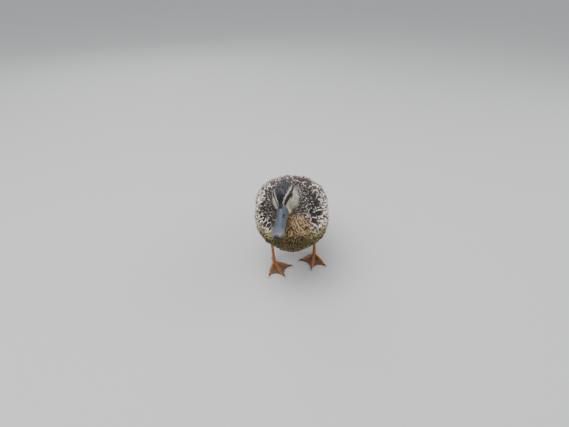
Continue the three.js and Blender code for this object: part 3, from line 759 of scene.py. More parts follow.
def vane(name, across, rows, root, widest, point=0.5, lean=0.0):
    """A vane one unit long and wide, in strips and rows; lean moves the shaft towards one edge."""
    along = 1 - np.power(1 - np.linspace(0, 1, rows + 1), 1.25)
    half = np.maximum(vane_width(along, root, widest, point), 0.06) / 2
    points, shape, faces = [], [], []
    for v, w in zip(along, half):
        for u in np.linspace(-1, 1, across + 1):
            shift = lean * (1 - abs(u)) * w
            points.append((u * w + shift, v, 0))
            shape.append((u, v, 0))
        points.append((lean * w, v, 0))
        shape.append((0, v, 1))
    step = across + 2
    for i in range(rows):
        a, b = i * step, (i + 1) * step
        faces += [(a + k, a + k + 1, b + k + 1, b + k) for k in range(across)]
        under_a, under_b = a + across + 1, b + across + 1
        faces += [(a + across, under_a, under_b, b + across), (under_a, a, b, under_b)]
    last = rows * step
    faces.append([*range(across, -1, -1), across + 1])
    faces.append([last + k for k in range(across + 1)] + [last + across + 1])
    made = mesh_object(name, points, faces)
    made.data.attributes.new("vane", "FLOAT_VECTOR", "POINT").data.foreach_set("vector", np.ravel(shape))
    edges = np.empty(len(made.data.edges) * 2, int)
    made.data.edges.foreach_get("vertices", edges)
    rim = np.array([(abs(u) == 1 or v in (0, 1)) and under == 0 for u, v, under in shape])
    sharp = made.data.attributes.new("sharp_edge", "BOOLEAN", "EDGE")
    sharp.data.foreach_set("value", rim[edges.reshape(-1, 2)].all(axis=1))
    return made


VANES = {
    "small": vane("vane_small", 2, 5, widest=0.5, point=0.75, root=0.4),
    "broad": vane("vane_broad", 4, 7, widest=0.68, root=0.30),
    "quill": vane("vane_quill", 4, 12, root=0.42, widest=0.80, point=0.62, lean=0.18),
}
for name, shape in VANES.items():
    print(name, "faces:", len(shape.data.polygons))


# %% [markdown]
# ## Laying the coat
# Thousands of copies of one shape that follow a surface are work for Geometry Nodes. Each follicle
# carries numbers: which way its feather lies, its size, how high its root and tip ride above the skin.
# The tree puts a vane on each point, finds the nearest place on the skin for every vertex, and lifts it
# from there, so a feather bends over the curve beneath it. Roots start low and tips end high, which is
# what makes each feather cover the roots behind it.

# %% Helpers that add math nodes
def named(tree, name, kind="FLOAT_VECTOR"):
    """A value stored on the points, by its name."""
    node = add(tree, "GeometryNodeInputNamedAttribute", {"Name": name}, data_type=kind)
    return node.outputs["Attribute"]


def calc(tree, operation, *values):
    """A sum with numbers."""
    return add(tree, "ShaderNodeMath", dict(enumerate(values)), operation=operation).outputs[0]


def vector_calc(tree, operation, *values, scale=None):
    """A sum with vectors."""
    node = add(tree, "ShaderNodeVectorMath", dict(enumerate(values)), operation=operation)
    if scale is not None:
        if isinstance(scale, bpy.types.NodeSocket):
            tree.links.new(scale, node.inputs["Scale"])
        else:
            node.inputs["Scale"].default_value = scale
    return node.outputs["Value" if operation in ("DOT_PRODUCT", "LENGTH") else "Vector"]


def split(tree, vector):
    """The three parts of a vector."""
    return add(tree, "ShaderNodeSeparateXYZ", {0: vector}).outputs


def mixed(tree, share, a, b):
    """a where share is 0 and b where it is 1, for numbers."""
    return calc(tree, "ADD", a, calc(tree, "MULTIPLY", share, calc(tree, "SUBTRACT", b, a)))


print("node helpers: named, calc, vector_calc, split, mixed")

# %% The Geometry Nodes tree for every coat piece
FOLLICLE_NUMBERS = ("lie", "out", "size", "lay", "hold", "patch")
LIFT_CURVE = 1.3  # 1 lifts a feather evenly from root to tip, more keeps its first half down
# how far noise pushes a feather's points sideways and lengthwise, in its own widths and lengths
RAGGED = (0.40, 0.20)
SEED_STEP = 61.0  # moves each feather to its own part of the noise


def coat_tree():
    """The Geometry Nodes that turn follicles into feathers."""
    tree = bpy.data.node_groups.new("feather_coat", "GeometryNodeTree")
    face = tree.interface
    face.new_socket("Follicles", in_out="INPUT", socket_type="NodeSocketGeometry")
    face.new_socket("Vane", in_out="INPUT", socket_type="NodeSocketObject")
    face.new_socket("Skin", in_out="INPUT", socket_type="NodeSocketObject")
    face.new_socket("Finish", in_out="INPUT", socket_type="NodeSocketMaterial")
    face.new_socket("Coat", in_out="OUTPUT", socket_type="NodeSocketGeometry")
    given = tree.nodes.new("NodeGroupInput").outputs

    # one vane on each follicle, its length along the lie of the coat and its face outwards
    turn = add(
        tree,
        "FunctionNodeAxesToRotation",
        {"Primary Axis": named(tree, "out"), "Secondary Axis": named(tree, "lie")},
        primary_axis="Z",
        secondary_axis="Y",
    )
    shape = add(tree, "GeometryNodeObjectInfo", {"Object": given["Vane"]})
    copies = add(
        tree,
        "GeometryNodeInstanceOnPoints",
        {
            "Points": given["Follicles"],
            "Instance": shape.outputs["Geometry"],
            "Rotation": turn.outputs[0],
            "Scale": named(tree, "size"),
        },
    )
    real = add(tree, "GeometryNodeRealizeInstances", {"Geometry": copies.outputs[0]}).outputs[0]

    # height above the skin: from root to tip, plus the arch across, less the thickness underneath
    across, along, under = split(tree, named(tree, "vane"))
    root_lift, tip_lift, arch = split(tree, named(tree, "lay"))
    root_hold, tip_hold, thickness = split(tree, named(tree, "hold"))
    rise = mixed(tree, calc(tree, "POWER", along, LIFT_CURVE), root_lift, tip_lift)
    round_over = calc(tree, "SUBTRACT", 1, calc(tree, "MULTIPLY", across, across))
    arched = calc(tree, "MULTIPLY", arch, round_over)
    rise = calc(tree, "ADD", rise, arched)
    rise = calc(tree, "SUBTRACT", rise, calc(tree, "MULTIPLY", under, thickness))

    # each vertex is pushed a little sideways and lengthwise, more towards the tip
    seed_place = calc(tree, "MULTIPLY", named(tree, "seed", "FLOAT"), SEED_STEP)
    seed_place = add(tree, "ShaderNodeCombineXYZ", {2: seed_place}).outputs[0]
    own = vector_calc(tree, "MULTIPLY", named(tree, "vane"), (0.9, 2.6, 0))
    own = vector_calc(tree, "ADD", own, seed_place)
    noise = add(tree, "ShaderNodeTexNoise", {"Vector": own, "Scale": 1.0, "Detail": 1.0})
    push = vector_calc(tree, "SUBTRACT", noise.outputs["Color"], (0.5, 0.5, 0.5))
    sideways, lengthwise, _ = split(tree, push)
    wide, long, _ = split(tree, named(tree, "size"))
    sideways = calc(tree, "MULTIPLY", sideways, wide)
    sideways = calc(tree, "MULTIPLY", sideways, calc(tree, "MULTIPLY", along, RAGGED[0]))
    lengthwise = calc(tree, "MULTIPLY", lengthwise, long)
    lengthwise = calc(tree, "MULTIPLY", lengthwise, calc(tree, "MULTIPLY", along, RAGGED[1]))
    beside = vector_calc(tree, "CROSS_PRODUCT", named(tree, "lie"), named(tree, "out"))
    sideways = vector_calc(tree, "SCALE", beside, scale=sideways)
    lengthwise = vector_calc(tree, "SCALE", named(tree, "lie"), scale=lengthwise)
    place = add(tree, "GeometryNodeInputPosition").outputs[0]
    place = vector_calc(tree, "ADD", vector_calc(tree, "ADD", place, sideways), lengthwise)

    # the nearest place on the skin for each vertex, and the free place for feathers that leave the body
    ground = add(tree, "GeometryNodeObjectInfo", {"Object": given["Skin"]}).outputs["Geometry"]
    sought = {0: ground, "Sample Position": place}
    nearest = add(tree, "GeometryNodeProximity", sought, target_element="FACES")
    upward = add(
        tree,
        "GeometryNodeSampleNearestSurface",
        {"Mesh": ground, "Value": named(tree, "outward"), "Sample Position": place},
        data_type="FLOAT_VECTOR",
    ).outputs["Value"]
    upward = vector_calc(tree, "SCALE", vector_calc(tree, "NORMALIZE", upward), scale=rise)
    laid = vector_calc(tree, "ADD", nearest.outputs["Position"], upward)
    free = vector_calc(tree, "ADD", place, vector_calc(tree, "SCALE", named(tree, "out"), scale=rise))
    hold = mixed(tree, along, root_hold, tip_hold)
    apart = vector_calc(tree, "SUBTRACT", laid, free)
    final = vector_calc(tree, "ADD", free, vector_calc(tree, "SCALE", apart, scale=hold))
    moved = add(tree, "GeometryNodeSetPosition", {"Geometry": real, "Position": final}).outputs[0]

    # each feather bakes into its own small square, at its root's place on the unwrapped skin
    left, up, side = split(tree, named(tree, "patch"))
    across_patch = calc(tree, "MULTIPLY", calc(tree, "MULTIPLY", across, 0.5), side)
    along_patch = calc(tree, "MULTIPLY", calc(tree, "SUBTRACT", along, 0.5), side)
    here = {0: calc(tree, "ADD", left, across_patch), 1: calc(tree, "ADD", up, along_patch)}
    here = add(tree, "ShaderNodeCombineXYZ", here).outputs[0]
    coat = add(
        tree,
        "GeometryNodeStoreNamedAttribute",
        {"Geometry": moved, "Name": "OFBake", "Value": here},
        data_type="FLOAT2",
        domain="CORNER",
    ).outputs[0]
    for name in FOLLICLE_NUMBERS:
        coat = add(tree, "GeometryNodeRemoveAttribute", {"Geometry": coat, "Name": name}).outputs[0]
    coat = add(tree, "GeometryNodeSetMaterial", {"Geometry": coat, "Material": given["Finish"]}).outputs[0]
    end = tree.nodes.new("NodeGroupOutput")
    tree.links.new(coat, end.inputs[0])
    return tree


COAT_TREE = coat_tree()
print("coat tree nodes:", len(COAT_TREE.nodes))

# %% [markdown]
# ## A patch for every feather
# When a finish is baked to pictures, each feather needs a place of its own on a flat map. An ordinary
# unwrap would scatter thousands of small islands. Here the roots are spread out by their place round
# the body or the head, and each feather gets a patch there that stays clear of the next one.

# %% A flat map of the roots
PATCH_SHARE = 0.6  # of the distance to the nearest neighbour on the unwrap
PATCH_SMALLEST, PATCH_LARGEST = 0.0015, 0.03
UNWRAP_MARGIN = 0.02


def socket_of(tree, name):
    """The key under which a modifier keeps an input of its tree."""
    inputs = [item for item in tree.interface.items_tree if item.in_out == "INPUT"]
    return next(item.identifier for item in inputs if item.name == name)


def unwrap_body(points):
    """Places on the skin as if it were a tube slit along the belly: round the body, and along it."""
    x, y, _, turn = around_body(points)
    return np.stack([np.sign(x) * turn / 360, y / 300], 1)


def unwrap_head(points):
    """The same for the head, slit along the throat."""
    h = in_head(points)
    round_about = np.arctan2(h[:, 0], h[:, 2] - 10) / (2 * math.pi)
    return np.stack([round_about, h[:, 1] / 90], 1)


def patches(flat):
    """Root places scaled to fill the square, and a patch size that stays clear of the next one."""
    low, high = flat.min(axis=0), flat.max(axis=0)
    inner = 1 - 2 * UNWRAP_MARGIN
    flat = UNWRAP_MARGIN + inner * (flat - low) / np.maximum(high - low, 1e-6)
    tree = KDTree(len(flat))
    for i, (u, v) in enumerate(flat):
        tree.insert((u, v, 0), i)
    tree.balance()
    gap = np.array([tree.find_n((u, v, 0), 2)[1][2] for u, v in flat])
    return np.column_stack([flat, np.clip(gap * PATCH_SHARE, PATCH_SMALLEST, PATCH_LARGEST)])


print("patches are between", PATCH_SMALLEST, "and", PATCH_LARGEST, "wide")


# %% Give the tree its follicles and take back a plain mesh
def lay_feathers(name, shape, finish, flat, numbers, stands_for=()):
    """Makes one coat piece. numbers holds an array for each value a follicle carries, in millimetres."""
    places = numbers.pop("place")
    seeds = bpy.data.meshes.new(name)
    seeds.from_pydata((places * MM).tolist(), [], [])
    numbers["size"] = numbers["size"] * (MM, MM, 1)
    numbers["lay"] = numbers["lay"] * MM
    numbers["hold"] = numbers["hold"] * (1, 1, MM)
    numbers["patch"] = patches(flat)
    for key, value in numbers.items():
        kind = "FLOAT_VECTOR" if np.ndim(value) == 2 else "FLOAT"
        layer = seeds.attributes.new(key, kind, "POINT")
        layer.data.foreach_set("vector" if kind == "FLOAT_VECTOR" else "value", np.ravel(value))
    made = bpy.data.objects.new(name, seeds)
    bpy.context.scene.collection.objects.link(made)
    grow = made.modifiers.new("feathers", "NODES")
    grow.node_group = COAT_TREE
    for label, value in (("Vane", VANES[shape]), ("Skin", skin), ("Finish", finish)):
        grow[socket_of(COAT_TREE, label)] = value
    mesh = plain_mesh(made)
    made.modifiers.clear()
    made.data = mesh
    mesh.name = name
    mesh.polygons.foreach_set("use_smooth", [True] * len(mesh.polygons))
    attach(made, "root")
    if stands_for:
        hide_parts(*stands_for)
    mesh.calc_loop_triangles()
    print(name, "feathers:", len(places), "triangles:", len(mesh.loop_triangles))


print("unwraps: body, head, and patches from", PATCH_SMALLEST, "to", PATCH_LARGEST)


# %% [markdown]
# ## The finish of a feather
# The mark on a feather follows its outline, so it is drawn in the feather's own coordinates: a dark
# middle, a pale fringe along the edge, and for some an arc of the pale colour half way in. Fine
# slanting lines stand for the barbs. They tilt the light a little more than they change the colour.
# Each feather is slightly lighter or darker.

# %% Helpers for shader groups
def shader_group(name, inputs, outputs):
    """An empty shader node group, with what it takes and what it gives."""
    group = bpy.data.node_groups.new(name, "ShaderNodeTree")
    for label, kind, value in inputs:
        socket = group.interface.new_socket(label, in_out="INPUT", socket_type="NodeSocket" + kind)
        if value is not None:
            socket.default_value = value
    for label, kind in outputs:
        group.interface.new_socket(label, in_out="OUTPUT", socket_type="NodeSocket" + kind)
    return group, group.nodes.new("NodeGroupInput").outputs, group.nodes.new("NodeGroupOutput").inputs


def give(group, ends, **values):
    """Links values to the outputs of a group."""
    for name, value in values.items():
        group.links.new(value, ends[name.replace("_", " ").title()])


def ramp(tree, value, low, high, to_low=0.0, to_high=1.0):
    """A smooth step from to_low to to_high as value goes from low to high."""
    node = add(
        tree,
        "ShaderNodeMapRange",
        {"Value": value, "From Min": low, "From Max": high, "To Min": to_low, "To Max": to_high},
        interpolation_type="SMOOTHSTEP",
    )
    return node.outputs["Result"]


def mix_colour(tree, share, a, b):
    """a where share is 0 and b where it is 1, for colours."""
    node = add(tree, "ShaderNodeMix", data_type="RGBA")
    for socket, value in ((node.inputs[0], share), (node.inputs[6], a), (node.inputs[7], b)):
        if isinstance(value, bpy.types.NodeSocket):
            tree.links.new(value, socket)
        else:
            socket.default_value = value
    return node.outputs[2]


def attribute(tree, name, output="Vector"):
    """A value that the mesh carries, by its name."""
    return add(tree, "ShaderNodeAttribute", attribute_name=name).outputs[output]


print("shader helpers: shader_group, give, ramp, mix_colour, attribute")

# %% The group that draws the mark
TIP_START = 0.48  # where along a feather its outline begins to round off
SOFT_EDGE = (0.07, 0.05)  # how far the fringe fades inwards and outwards
ARC_INNER, ARC_OUTER = (0.36, 0.46), (0.66, 0.56)  # where the pale arc begins and ends


def mark_group():
    """The pale share of a feather at each place: its fringe, broken here and there, and its inner arc."""
    group, given, ends = shader_group(
        "feather_mark",
        [
            ("Vane", "Vector", None),
            ("Mark", "Vector", None),
            ("Seed", "Float", 0.5),
            ("Ragged", "Float", 0.22),
        ],
        [("Pale Share", "Float")],
    )
    across, along, _ = split(group, given["Vane"])
    fringe, arc, narrow = split(group, given["Mark"])

    # how near to the outline a place is: 0 on the shaft, 1 at the edge
    side = calc(group, "MULTIPLY", calc(group, "ABSOLUTE", across), narrow)
    tip = calc(group, "DIVIDE", calc(group, "SUBTRACT", along, TIP_START), 1 - TIP_START)
    tip = calc(group, "MAXIMUM", tip, 0.0)
    squares = calc(group, "ADD", calc(group, "MULTIPLY", side, side), calc(group, "MULTIPLY", tip, tip))
    reach = calc(group, "SQRT", squares)
    offset = add(group, "ShaderNodeCombineXYZ", {2: calc(group, "MULTIPLY", given["Seed"], 37.0)})
    offset = offset.outputs[0]
    rough_place = vector_calc(group, "MULTIPLY", given["Vane"], (2.2, 4.0, 0))
    rough_place = vector_calc(group, "ADD", rough_place, offset)
    noise = add(group, "ShaderNodeTexNoise", {"Vector": rough_place, "Scale": 1.6, "Detail": 2.0})
    wobble = calc(group, "MULTIPLY", calc(group, "SUBTRACT", noise.outputs[0], 0.5), given["Ragged"])
    reach = calc(group, "ADD", reach, wobble)

    # the fringe, with patches where it is missing
    start = calc(group, "SUBTRACT", 1.0, fringe)
    inner_edge = calc(group, "SUBTRACT", start, SOFT_EDGE[0])
    edge = ramp(group, reach, inner_edge, calc(group, "ADD", start, SOFT_EDGE[1]))
    patch_place = vector_calc(group, "MULTIPLY", given["Vane"], (1.1, 1.6, 0))
    patch_place = vector_calc(group, "ADD", patch_place, offset)
    patchy = add(group, "ShaderNodeTexNoise", {"Vector": patch_place, "Scale": 1.7, "Detail": 1.0})
    gap = calc(group, "FRACT", calc(group, "MULTIPLY", given["Seed"], 7.1))
    gap = calc(group, "ADD", calc(group, "MULTIPLY", gap, 0.18), 0.36)
    whole = ramp(group, patchy.outputs[0], gap, calc(group, "ADD", gap, 0.08), 0.08, 1.0)
    edge = calc(group, "MULTIPLY", edge, whole)

    # the arc inside the dark
    inner = calc(group, "MULTIPLY", ramp(group, reach, *ARC_INNER), ramp(group, reach, *ARC_OUTER))
    behind = ramp(group, along, 0.42, 0.56)
    inner = calc(group, "MULTIPLY", calc(group, "MULTIPLY", inner, arc), behind)
    give(group, ends, pale_share=calc(group, "MAXIMUM", edge, inner))
    return group


MARK = mark_group()
print("mark group, nodes:", len(MARK.nodes))

# %% The group that draws the barbs
BARB_SLANT = 0.2
BARB_BEND = 0.02
BARB_SHADE = 0.04
FULL_TURN = 6.283


def barb_group():
    """Fine slanting lines on both sides of the shaft, as a height and as a slight darkening."""
    group, given, ends = shader_group(
        "feather_barbs",
        [("Vane", "Vector", None), ("Lines", "Float", 34.0)],
        [("Height", "Float"), ("Shade", "Float")],
    )
    across, along, _ = split(group, given["Vane"])
    side = calc(group, "ABSOLUTE", across)
    phase = calc(group, "SUBTRACT", along, calc(group, "MULTIPLY", side, BARB_SLANT))
    bend = add(group, "ShaderNodeTexNoise", {"Vector": given["Vane"], "Scale": 3.0, "Detail": 1.0})
    phase = calc(group, "ADD", phase, calc(group, "MULTIPLY", bend.outputs[0], BARB_BEND))
    lines = calc(group, "MULTIPLY", calc(group, "MULTIPLY", phase, given["Lines"]), FULL_TURN)
    wave = calc(group, "SINE", lines)
    shaft = ramp(group, side, 0.10, 0.03)
    height = calc(group, "ADD", calc(group, "MULTIPLY", wave, 0.5), calc(group, "MULTIPLY", shaft, 1.4))
    shade = calc(group, "ADD", 1.0, calc(group, "MULTIPLY", wave, BARB_SHADE))
    give(group, ends, height=height, shade=shade)
    return group


BARBS = barb_group()
print("barb group, nodes:", len(BARBS.nodes))


# %% The finish of a body feather
def use(tree, group, **inputs):
    """Adds a shader group to a material and fills its inputs."""
    node = add(tree, "ShaderNodeGroup", node_tree=group)
    for key, value in inputs.items():
        socket = node.inputs[key.replace("_", " ").title()]
        if isinstance(value, bpy.types.NodeSocket):
            tree.links.new(value, socket)
        else:
            socket.default_value = value
    return node.outputs


def scaled_colour(tree, colour, amount):
    """A colour made lighter or darker by a number."""
    return vector_calc(tree, "SCALE", colour, scale=amount)


def bump(tree, height, strength, distance):
    """A normal tilted by the slope of a height."""
    inputs = {"Strength": strength, "Distance": distance, "Height": height}
    return add(tree, "ShaderNodeBump", inputs).outputs[0]


def contour_finish(name, lines, sheen):
    """Body feathers: two colours and a mark from each follicle, with barbs."""
    material, tree = new_material(name)
    shape, seed = attribute(tree, "vane"), attribute(tree, "seed", "Fac")
    mark = use(tree, MARK, vane=shape, mark=attribute(tree, "mark"), seed=seed)
    barbs = use(tree, BARBS, vane=shape, lines=lines)
    along = split(tree, shape)[1]
    down = ramp(tree, along, 0.45, 0.1, 0.0, 0.35)
    dark, pale = attribute(tree, "dark", "Color"), attribute(tree, "pale", "Color")
    colour = mix_colour(tree, mark["Pale Share"], dark, pale)
    colour = mix_colour(tree, down, colour, dark)
    own_light = calc(tree, "ADD", 0.86, calc(tree, "MULTIPLY", seed, 0.28))
    colour = scaled_colour(tree, colour, calc(tree, "MULTIPLY", barbs["Shade"], own_light))
    normal = bump(tree, barbs["Height"], 0.35, 0.0002)
    rough = ramp(tree, mark["Pale Share"], 0, 1, 0.52, 0.7)
    shader = finish_with(tree, base_color=colour, roughness=rough, normal=normal)
    shader.inputs["Sheen Weight"].default_value = sheen
    shader.inputs["Sheen Roughness"].default_value = 0.4
    shader.inputs["Specular IOR Level"].default_value = 0.35
    return material


body_finish = contour_finish("body_feather", 42.0, 0.12)
head_finish = contour_finish("head_feather", 14.0, 0.1)
print("feather finishes:", body_finish.name, head_finish.name)

# %% [markdown]
# ## The down and the shade between the feathers
# Where two feathers part, a real duck shows short grey-brown down in shade. Down could be thousands of
# threads, but it is seen only through narrow gaps, so the skin itself plays it. It takes the markings
# of the feathers over it, mostly their dark colour, which paints the shade in the gaps, and a woolly
# bump.

# %% The skin takes the colours of the feathers over it, mostly dark, as painted shade
# little of the pale shows, so that the skin reads as painted shade between the feathers
PALE_IN_SHADED_DOWN = 0.195  # how much of a feather's pale fringe shows in the down beneath it
dark, pale, mark = plumage(skin_points)
tone = dark + PALE_IN_SHADED_DOWN * mark[:, :1] * (pale - dark)
skin.data.attributes.new("tone", "FLOAT_VECTOR", "POINT").data.foreach_set("vector", tone.ravel())
skin_finish, tree = new_material("skin_down_and_shade")
place = add(tree, "ShaderNodeTexCoord").outputs["Object"]
down = add(tree, "ShaderNodeTexNoise", {"Vector": place, "Scale": 420.0, "Detail": 3.0}).outputs[0]
tone = scaled_colour(tree, attribute(tree, "tone", "Color"), ramp(tree, down, 0.3, 0.7, 0.75, 1.15))
finish_with(tree, base_color=tone, roughness=0.9, normal=bump(tree, down, 0.6, 0.0004))
skin.data.materials.append(skin_finish)
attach(skin, "root")
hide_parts(*FLESH)
print("skin stands for:", ", ".join(FLESH))


# %% [markdown]
# ## The coat of head, neck and body
# The small feathers of the face are 4 mm long and lie close. Those of the flanks are four times as
# long, those of the back are longer still, and both stand a little proud, which gives the soft outline
# of a fluffed-up bird.

# %% Numbers that each contour feather carries
# in spacings: length, width, height of the tip over the skin, arch across
FEATHER_SHAPES = {
    "head": (4.6, 1.5, 0.34, 0.12),
    "neck": (4.0, 1.75, 0.6, 0.1),
    "body": (4.0, 2.0, 0.6, 0.1),
}
ROOT_LIFT = {"head": -0.2, "neck": -0.4, "body": -0.6}  # in mm, so that roots start inside the skin
TIP_LIFT = (1.2, 3.4)  # least and most on the body, in mm
VANE_THICKNESS = 0.14  # in mm


def numbers_for(places, normals, length, width, root, tip, arch, rng, tumble, seen=0.0, loose=0.0):
    """The values that ordinary contour feathers carry.

    tumble is how far, in degrees, one may turn from the next. seen is how far along its length the part
    that shows begins, which gives the feather its colours. loose is how freely tips may leave the curve
    of the body.
    """
    count = len(places)
    lie = lie_of_coat(places, normals)
    side = np.cross(lie, normals)
    turn = np.radians(rng.normal(0, tumble, count))[:, None]
    lie = unit(lie * np.cos(turn) + side * np.sin(turn))
    # small feathers keep the edges of the head's markings clean, large ones stray over them
    stray = 0.24 * width * smoothstep(3, 9, width)
    visible = places + lie * (seen * length)[:, None]
    dark, pale, mark = plumage(visible + rng.normal(0, 1, (count, 3)) * stray[:, None])
    seed = rng.random(count)
    tint = 1 + 0.10 * rng.normal(0, 1, (count, 1)).clip(-2, 2)
    length = length * rng.uniform(0.9, 1.12, count)
    tip = tip * rng.uniform(0.65, 1.35, count)
    tip_hold = 1 - loose * rng.random(count)
    whole = np.ones(count)
    own_mark = np.stack([rng.uniform(0.8, 1.25, count), rng.uniform(0.3, 1.2, count), whole], 1)
    return {
        "place": places,
        "lie": lie,
        "out": normals,
        "size": np.stack([width, length, whole], 1),
        "lay": np.stack([root * whole, tip, arch], 1),
        "hold": np.stack([whole, tip_hold, VANE_THICKNESS * whole], 1),
        "dark": dark * tint,
        "pale": pale * tint,
        "mark": mark * own_mark,
        "seed": seed,
    }


print("kinds of contour feather:", ", ".join(FEATHER_SHAPES))

# %% Places that stay bare
WRIST_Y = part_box("wing_left")[1].y / MM - 132  # the front of the row of great coverts
BARE_ROUND_EYE = 4.4  # radius, in mm


def clear_of_bare_parts(places):
    """False inside the eye's opening and on the bill."""
    x, y, z = in_head(places).T
    from_eye = np.hypot(y - EYE_PLACE[1], z - EYE_PLACE[2])
    open_eye = (from_eye < BARE_ROUND_EYE) & (np.abs(x) > 8)
    point = (z > 12) & (np.abs(x) < 4.5 + 0.5 * y)
    bill = (y < 0.5) & (z < 16.5) & (z > -5) & ~point
    return ~(open_eye | bill)


def under_wing_feathers(places):
    """True on the side of the body where the large wing feathers leave no room for small ones."""
    y, z = places[:, 1] - WRIST_Y, places[:, 2]
    between_ends = (y > 4) & (y < 78 + 1.3 * (z - 120))
    between_edges = (z > 107 - 0.16 * y) & (z < 152 - 0.3 * y)
    return (np.abs(places[:, 0]) > 22) & between_ends & between_edges


print("front of the folded wing at y in mm:", round(WRIST_Y, 1))

# %% The coat of the head
# the crown's grey-blue flecks are partly pale streaks and partly painted sheen of the sky; the cheek's are
# darker streaks
FLECKS_AND_SHEEN = (  # region, share of its feathers that are flecks, their colour
    ("crown", 0.08, paint(116, 116, 120)),
    ("cheek", 0.08, paint(104, 98, 86)),
)
coat_rng = np.random.default_rng(23)
places, normals = follicles["head"]
kept = clear_of_bare_parts(places)
places, normals = places[kept], normals[kept]
h = in_head(places)
crest = smoothstep(24, 44, h[:, 1]) * smoothstep(20, 27, h[:, 2])
length, width, tip, arch = np.outer(FEATHER_SHAPES["head"], spacing(places))
length = length + 1.5 * crest
tip = 0.2 + tip + crest
head_numbers = numbers_for(
    places, normals, length, width, ROOT_LIFT["head"], tip, arch, coat_rng, tumble=7, seen=0.5
)
shares = dict(head_regions(places))
shares["crown"] = shares["crown"] * (1 - shares["forehead"])
behind_cheek = smoothstep(22, 34, h[:, 1]) * (1 - shares["throat"]) * (1 - shares["brow"])
shares["cheek"] = shares["cheek"] * behind_cheek
for region, share, colour in FLECKS_AND_SHEEN:
    fleck_and_sheen_share = (coat_rng.random(len(places)) < share)[:, None] * shares[region][:, None]
    for key in ("dark", "pale"):
        head_numbers[key] += fleck_and_sheen_share * (colour - head_numbers[key])
lay_feathers("head_coat", "small", head_finish, unwrap_head(places), head_numbers)

# %% The coat of the neck
places, normals = follicles["neck"]
length, width, tip, arch = np.outer(FEATHER_SHAPES["neck"], spacing(places))
neck_numbers = numbers_for(
    places, normals, length, width, ROOT_LIFT["neck"], tip, arch, coat_rng, tumble=10
)
lay_feathers("neck_coat", "small", head_finish, unwrap_head(places), neck_numbers)

# %% The coats of back, flanks, breast and belly
places, normals = follicles["body"]
kept = ~under_wing_feathers(places)
places, normals = places[kept], normals[kept]
turn = around_body(places)[3]
shares = dict(body_regions(places))
groups = np.where(shares["belly"] + shares["vent"] + shares["thigh"] > 0.5, "belly", "flank")
groups = np.where((groups == "flank") & (turn < 66), "back", groups)
groups = np.where((groups != "belly") & (shares["breast"] > 0.5), "breast", groups)
for group in ("back", "flank", "breast", "belly"):
    roots, outwards = places[groups == group], normals[groups == group]
    loose = 0.9 if group == "belly" else 0.5
    length, width, tip, arch = np.outer(FEATHER_SHAPES["body"], spacing(roots))
    tip = np.clip(tip, *TIP_LIFT)
    numbers = numbers_for(
        roots, outwards, length, width, ROOT_LIFT["body"], tip, arch, coat_rng, 8, 0.6, loose
    )
    lay_feathers(group + "_coat", "broad", body_finish, unwrap_body(roots), numbers)


# %% [markdown]
# ## Wings and tail
# The folded wing shows only some of its feathers. From front to back on her side they are the great
# coverts with a white and a black band, the secondaries with the blue mirror, the long tertials that
# lie over both, and the tips of the primaries that reach back over the rump. Each row is placed on the
# side of the body by rays, as these feathers are few and each has its own place. The same Geometry
# Nodes tree then bends them over the body.

# %% Finishes of the wing and tail feathers
def banded_finish(name, stops, lines, sheen_colour=None):
    """A quill with bands across it. stops are (place along the feather, colour)."""
    material, tree = new_material(name)
    shape, seed = attribute(tree, "vane"), attribute(tree, "seed", "Fac")
    barbs = use(tree, BARBS, vane=shape, lines=lines)
    across, along, _ = split(tree, shape)
    bow = calc(tree, "MULTIPLY", calc(tree, "MULTIPLY", across, across), 0.05)
    noise = add(tree, "ShaderNodeTexNoise", {"Vector": shape, "Scale": 6.0, "Detail": 2.0}).outputs[0]
    wobble = calc(tree, "MULTIPLY", calc(tree, "SUBTRACT", noise, 0.5), 0.05)
    place = calc(tree, "ADD", calc(tree, "ADD", along, bow), wobble)
    bands = add(tree, "ShaderNodeValToRGB", {"Fac": place})
    steps = bands.color_ramp.elements
    while len(steps) < len(stops):
        steps.new(0.5)
    for step, (at, colour) in zip(steps, stops):
        step.position = at
        step.color = (*colour, 1)
    own_light = calc(tree, "ADD", 0.9, calc(tree, "MULTIPLY", seed, 0.2))
    colour = scaled_colour(tree, bands.outputs[0], calc(tree, "MULTIPLY", barbs["Shade"], own_light))
    normal = bump(tree, barbs["Height"], 0.35, 0.0003)
    shader = finish_with(tree, base_color=colour, roughness=0.5, normal=normal)
    shader.inputs["Specular IOR Level"].default_value = 0.4
    if sheen_colour is not None:
        shader.inputs["Sheen Weight"].default_value = 0.4
        shader.inputs["Sheen Tint"].default_value = (*sheen_colour, 1)
    return material


DUSKY, EARTH, SOOT, SNOW = paint(72, 60, 52), paint(98, 82, 68), paint(18, 17, 20), paint(236, 232, 224)
MIRROR = paint(42, 56, 132)


def sharp_bands(*bands, soft=0.012):
    """Band ends and colours as the stops of a colour ramp with narrow edges."""
    stops = [(0.0, bands[0][1])]
    for (end, colour), (_, following) in zip(bands, bands[1:]):
        stops += [(end - soft, colour), (end + soft, following)]
    return stops


covert_finish = banded_finish("great_covert", sharp_bands((0.66, EARTH), (0.84, SNOW), (1.0, SOOT)), 26.0)
mirror_bands = sharp_bands((0.40, DUSKY), (0.46, SOOT), (0.80, MIRROR), (0.89, SOOT), (1.0, SNOW))
mirror_finish = banded_finish("wing_mirror", mirror_bands, 40.0, (0.3, 0.35, 1.0))
primary_bands = sharp_bands((0.5, paint(66, 56, 50)), (1.0, paint(52, 44, 40)), soft=0.2)
primary_finish = banded_finish("primary_quill", primary_bands, 60.0)
tertial_finish = contour_finish("tertial_feather", 44.0, 0.12)


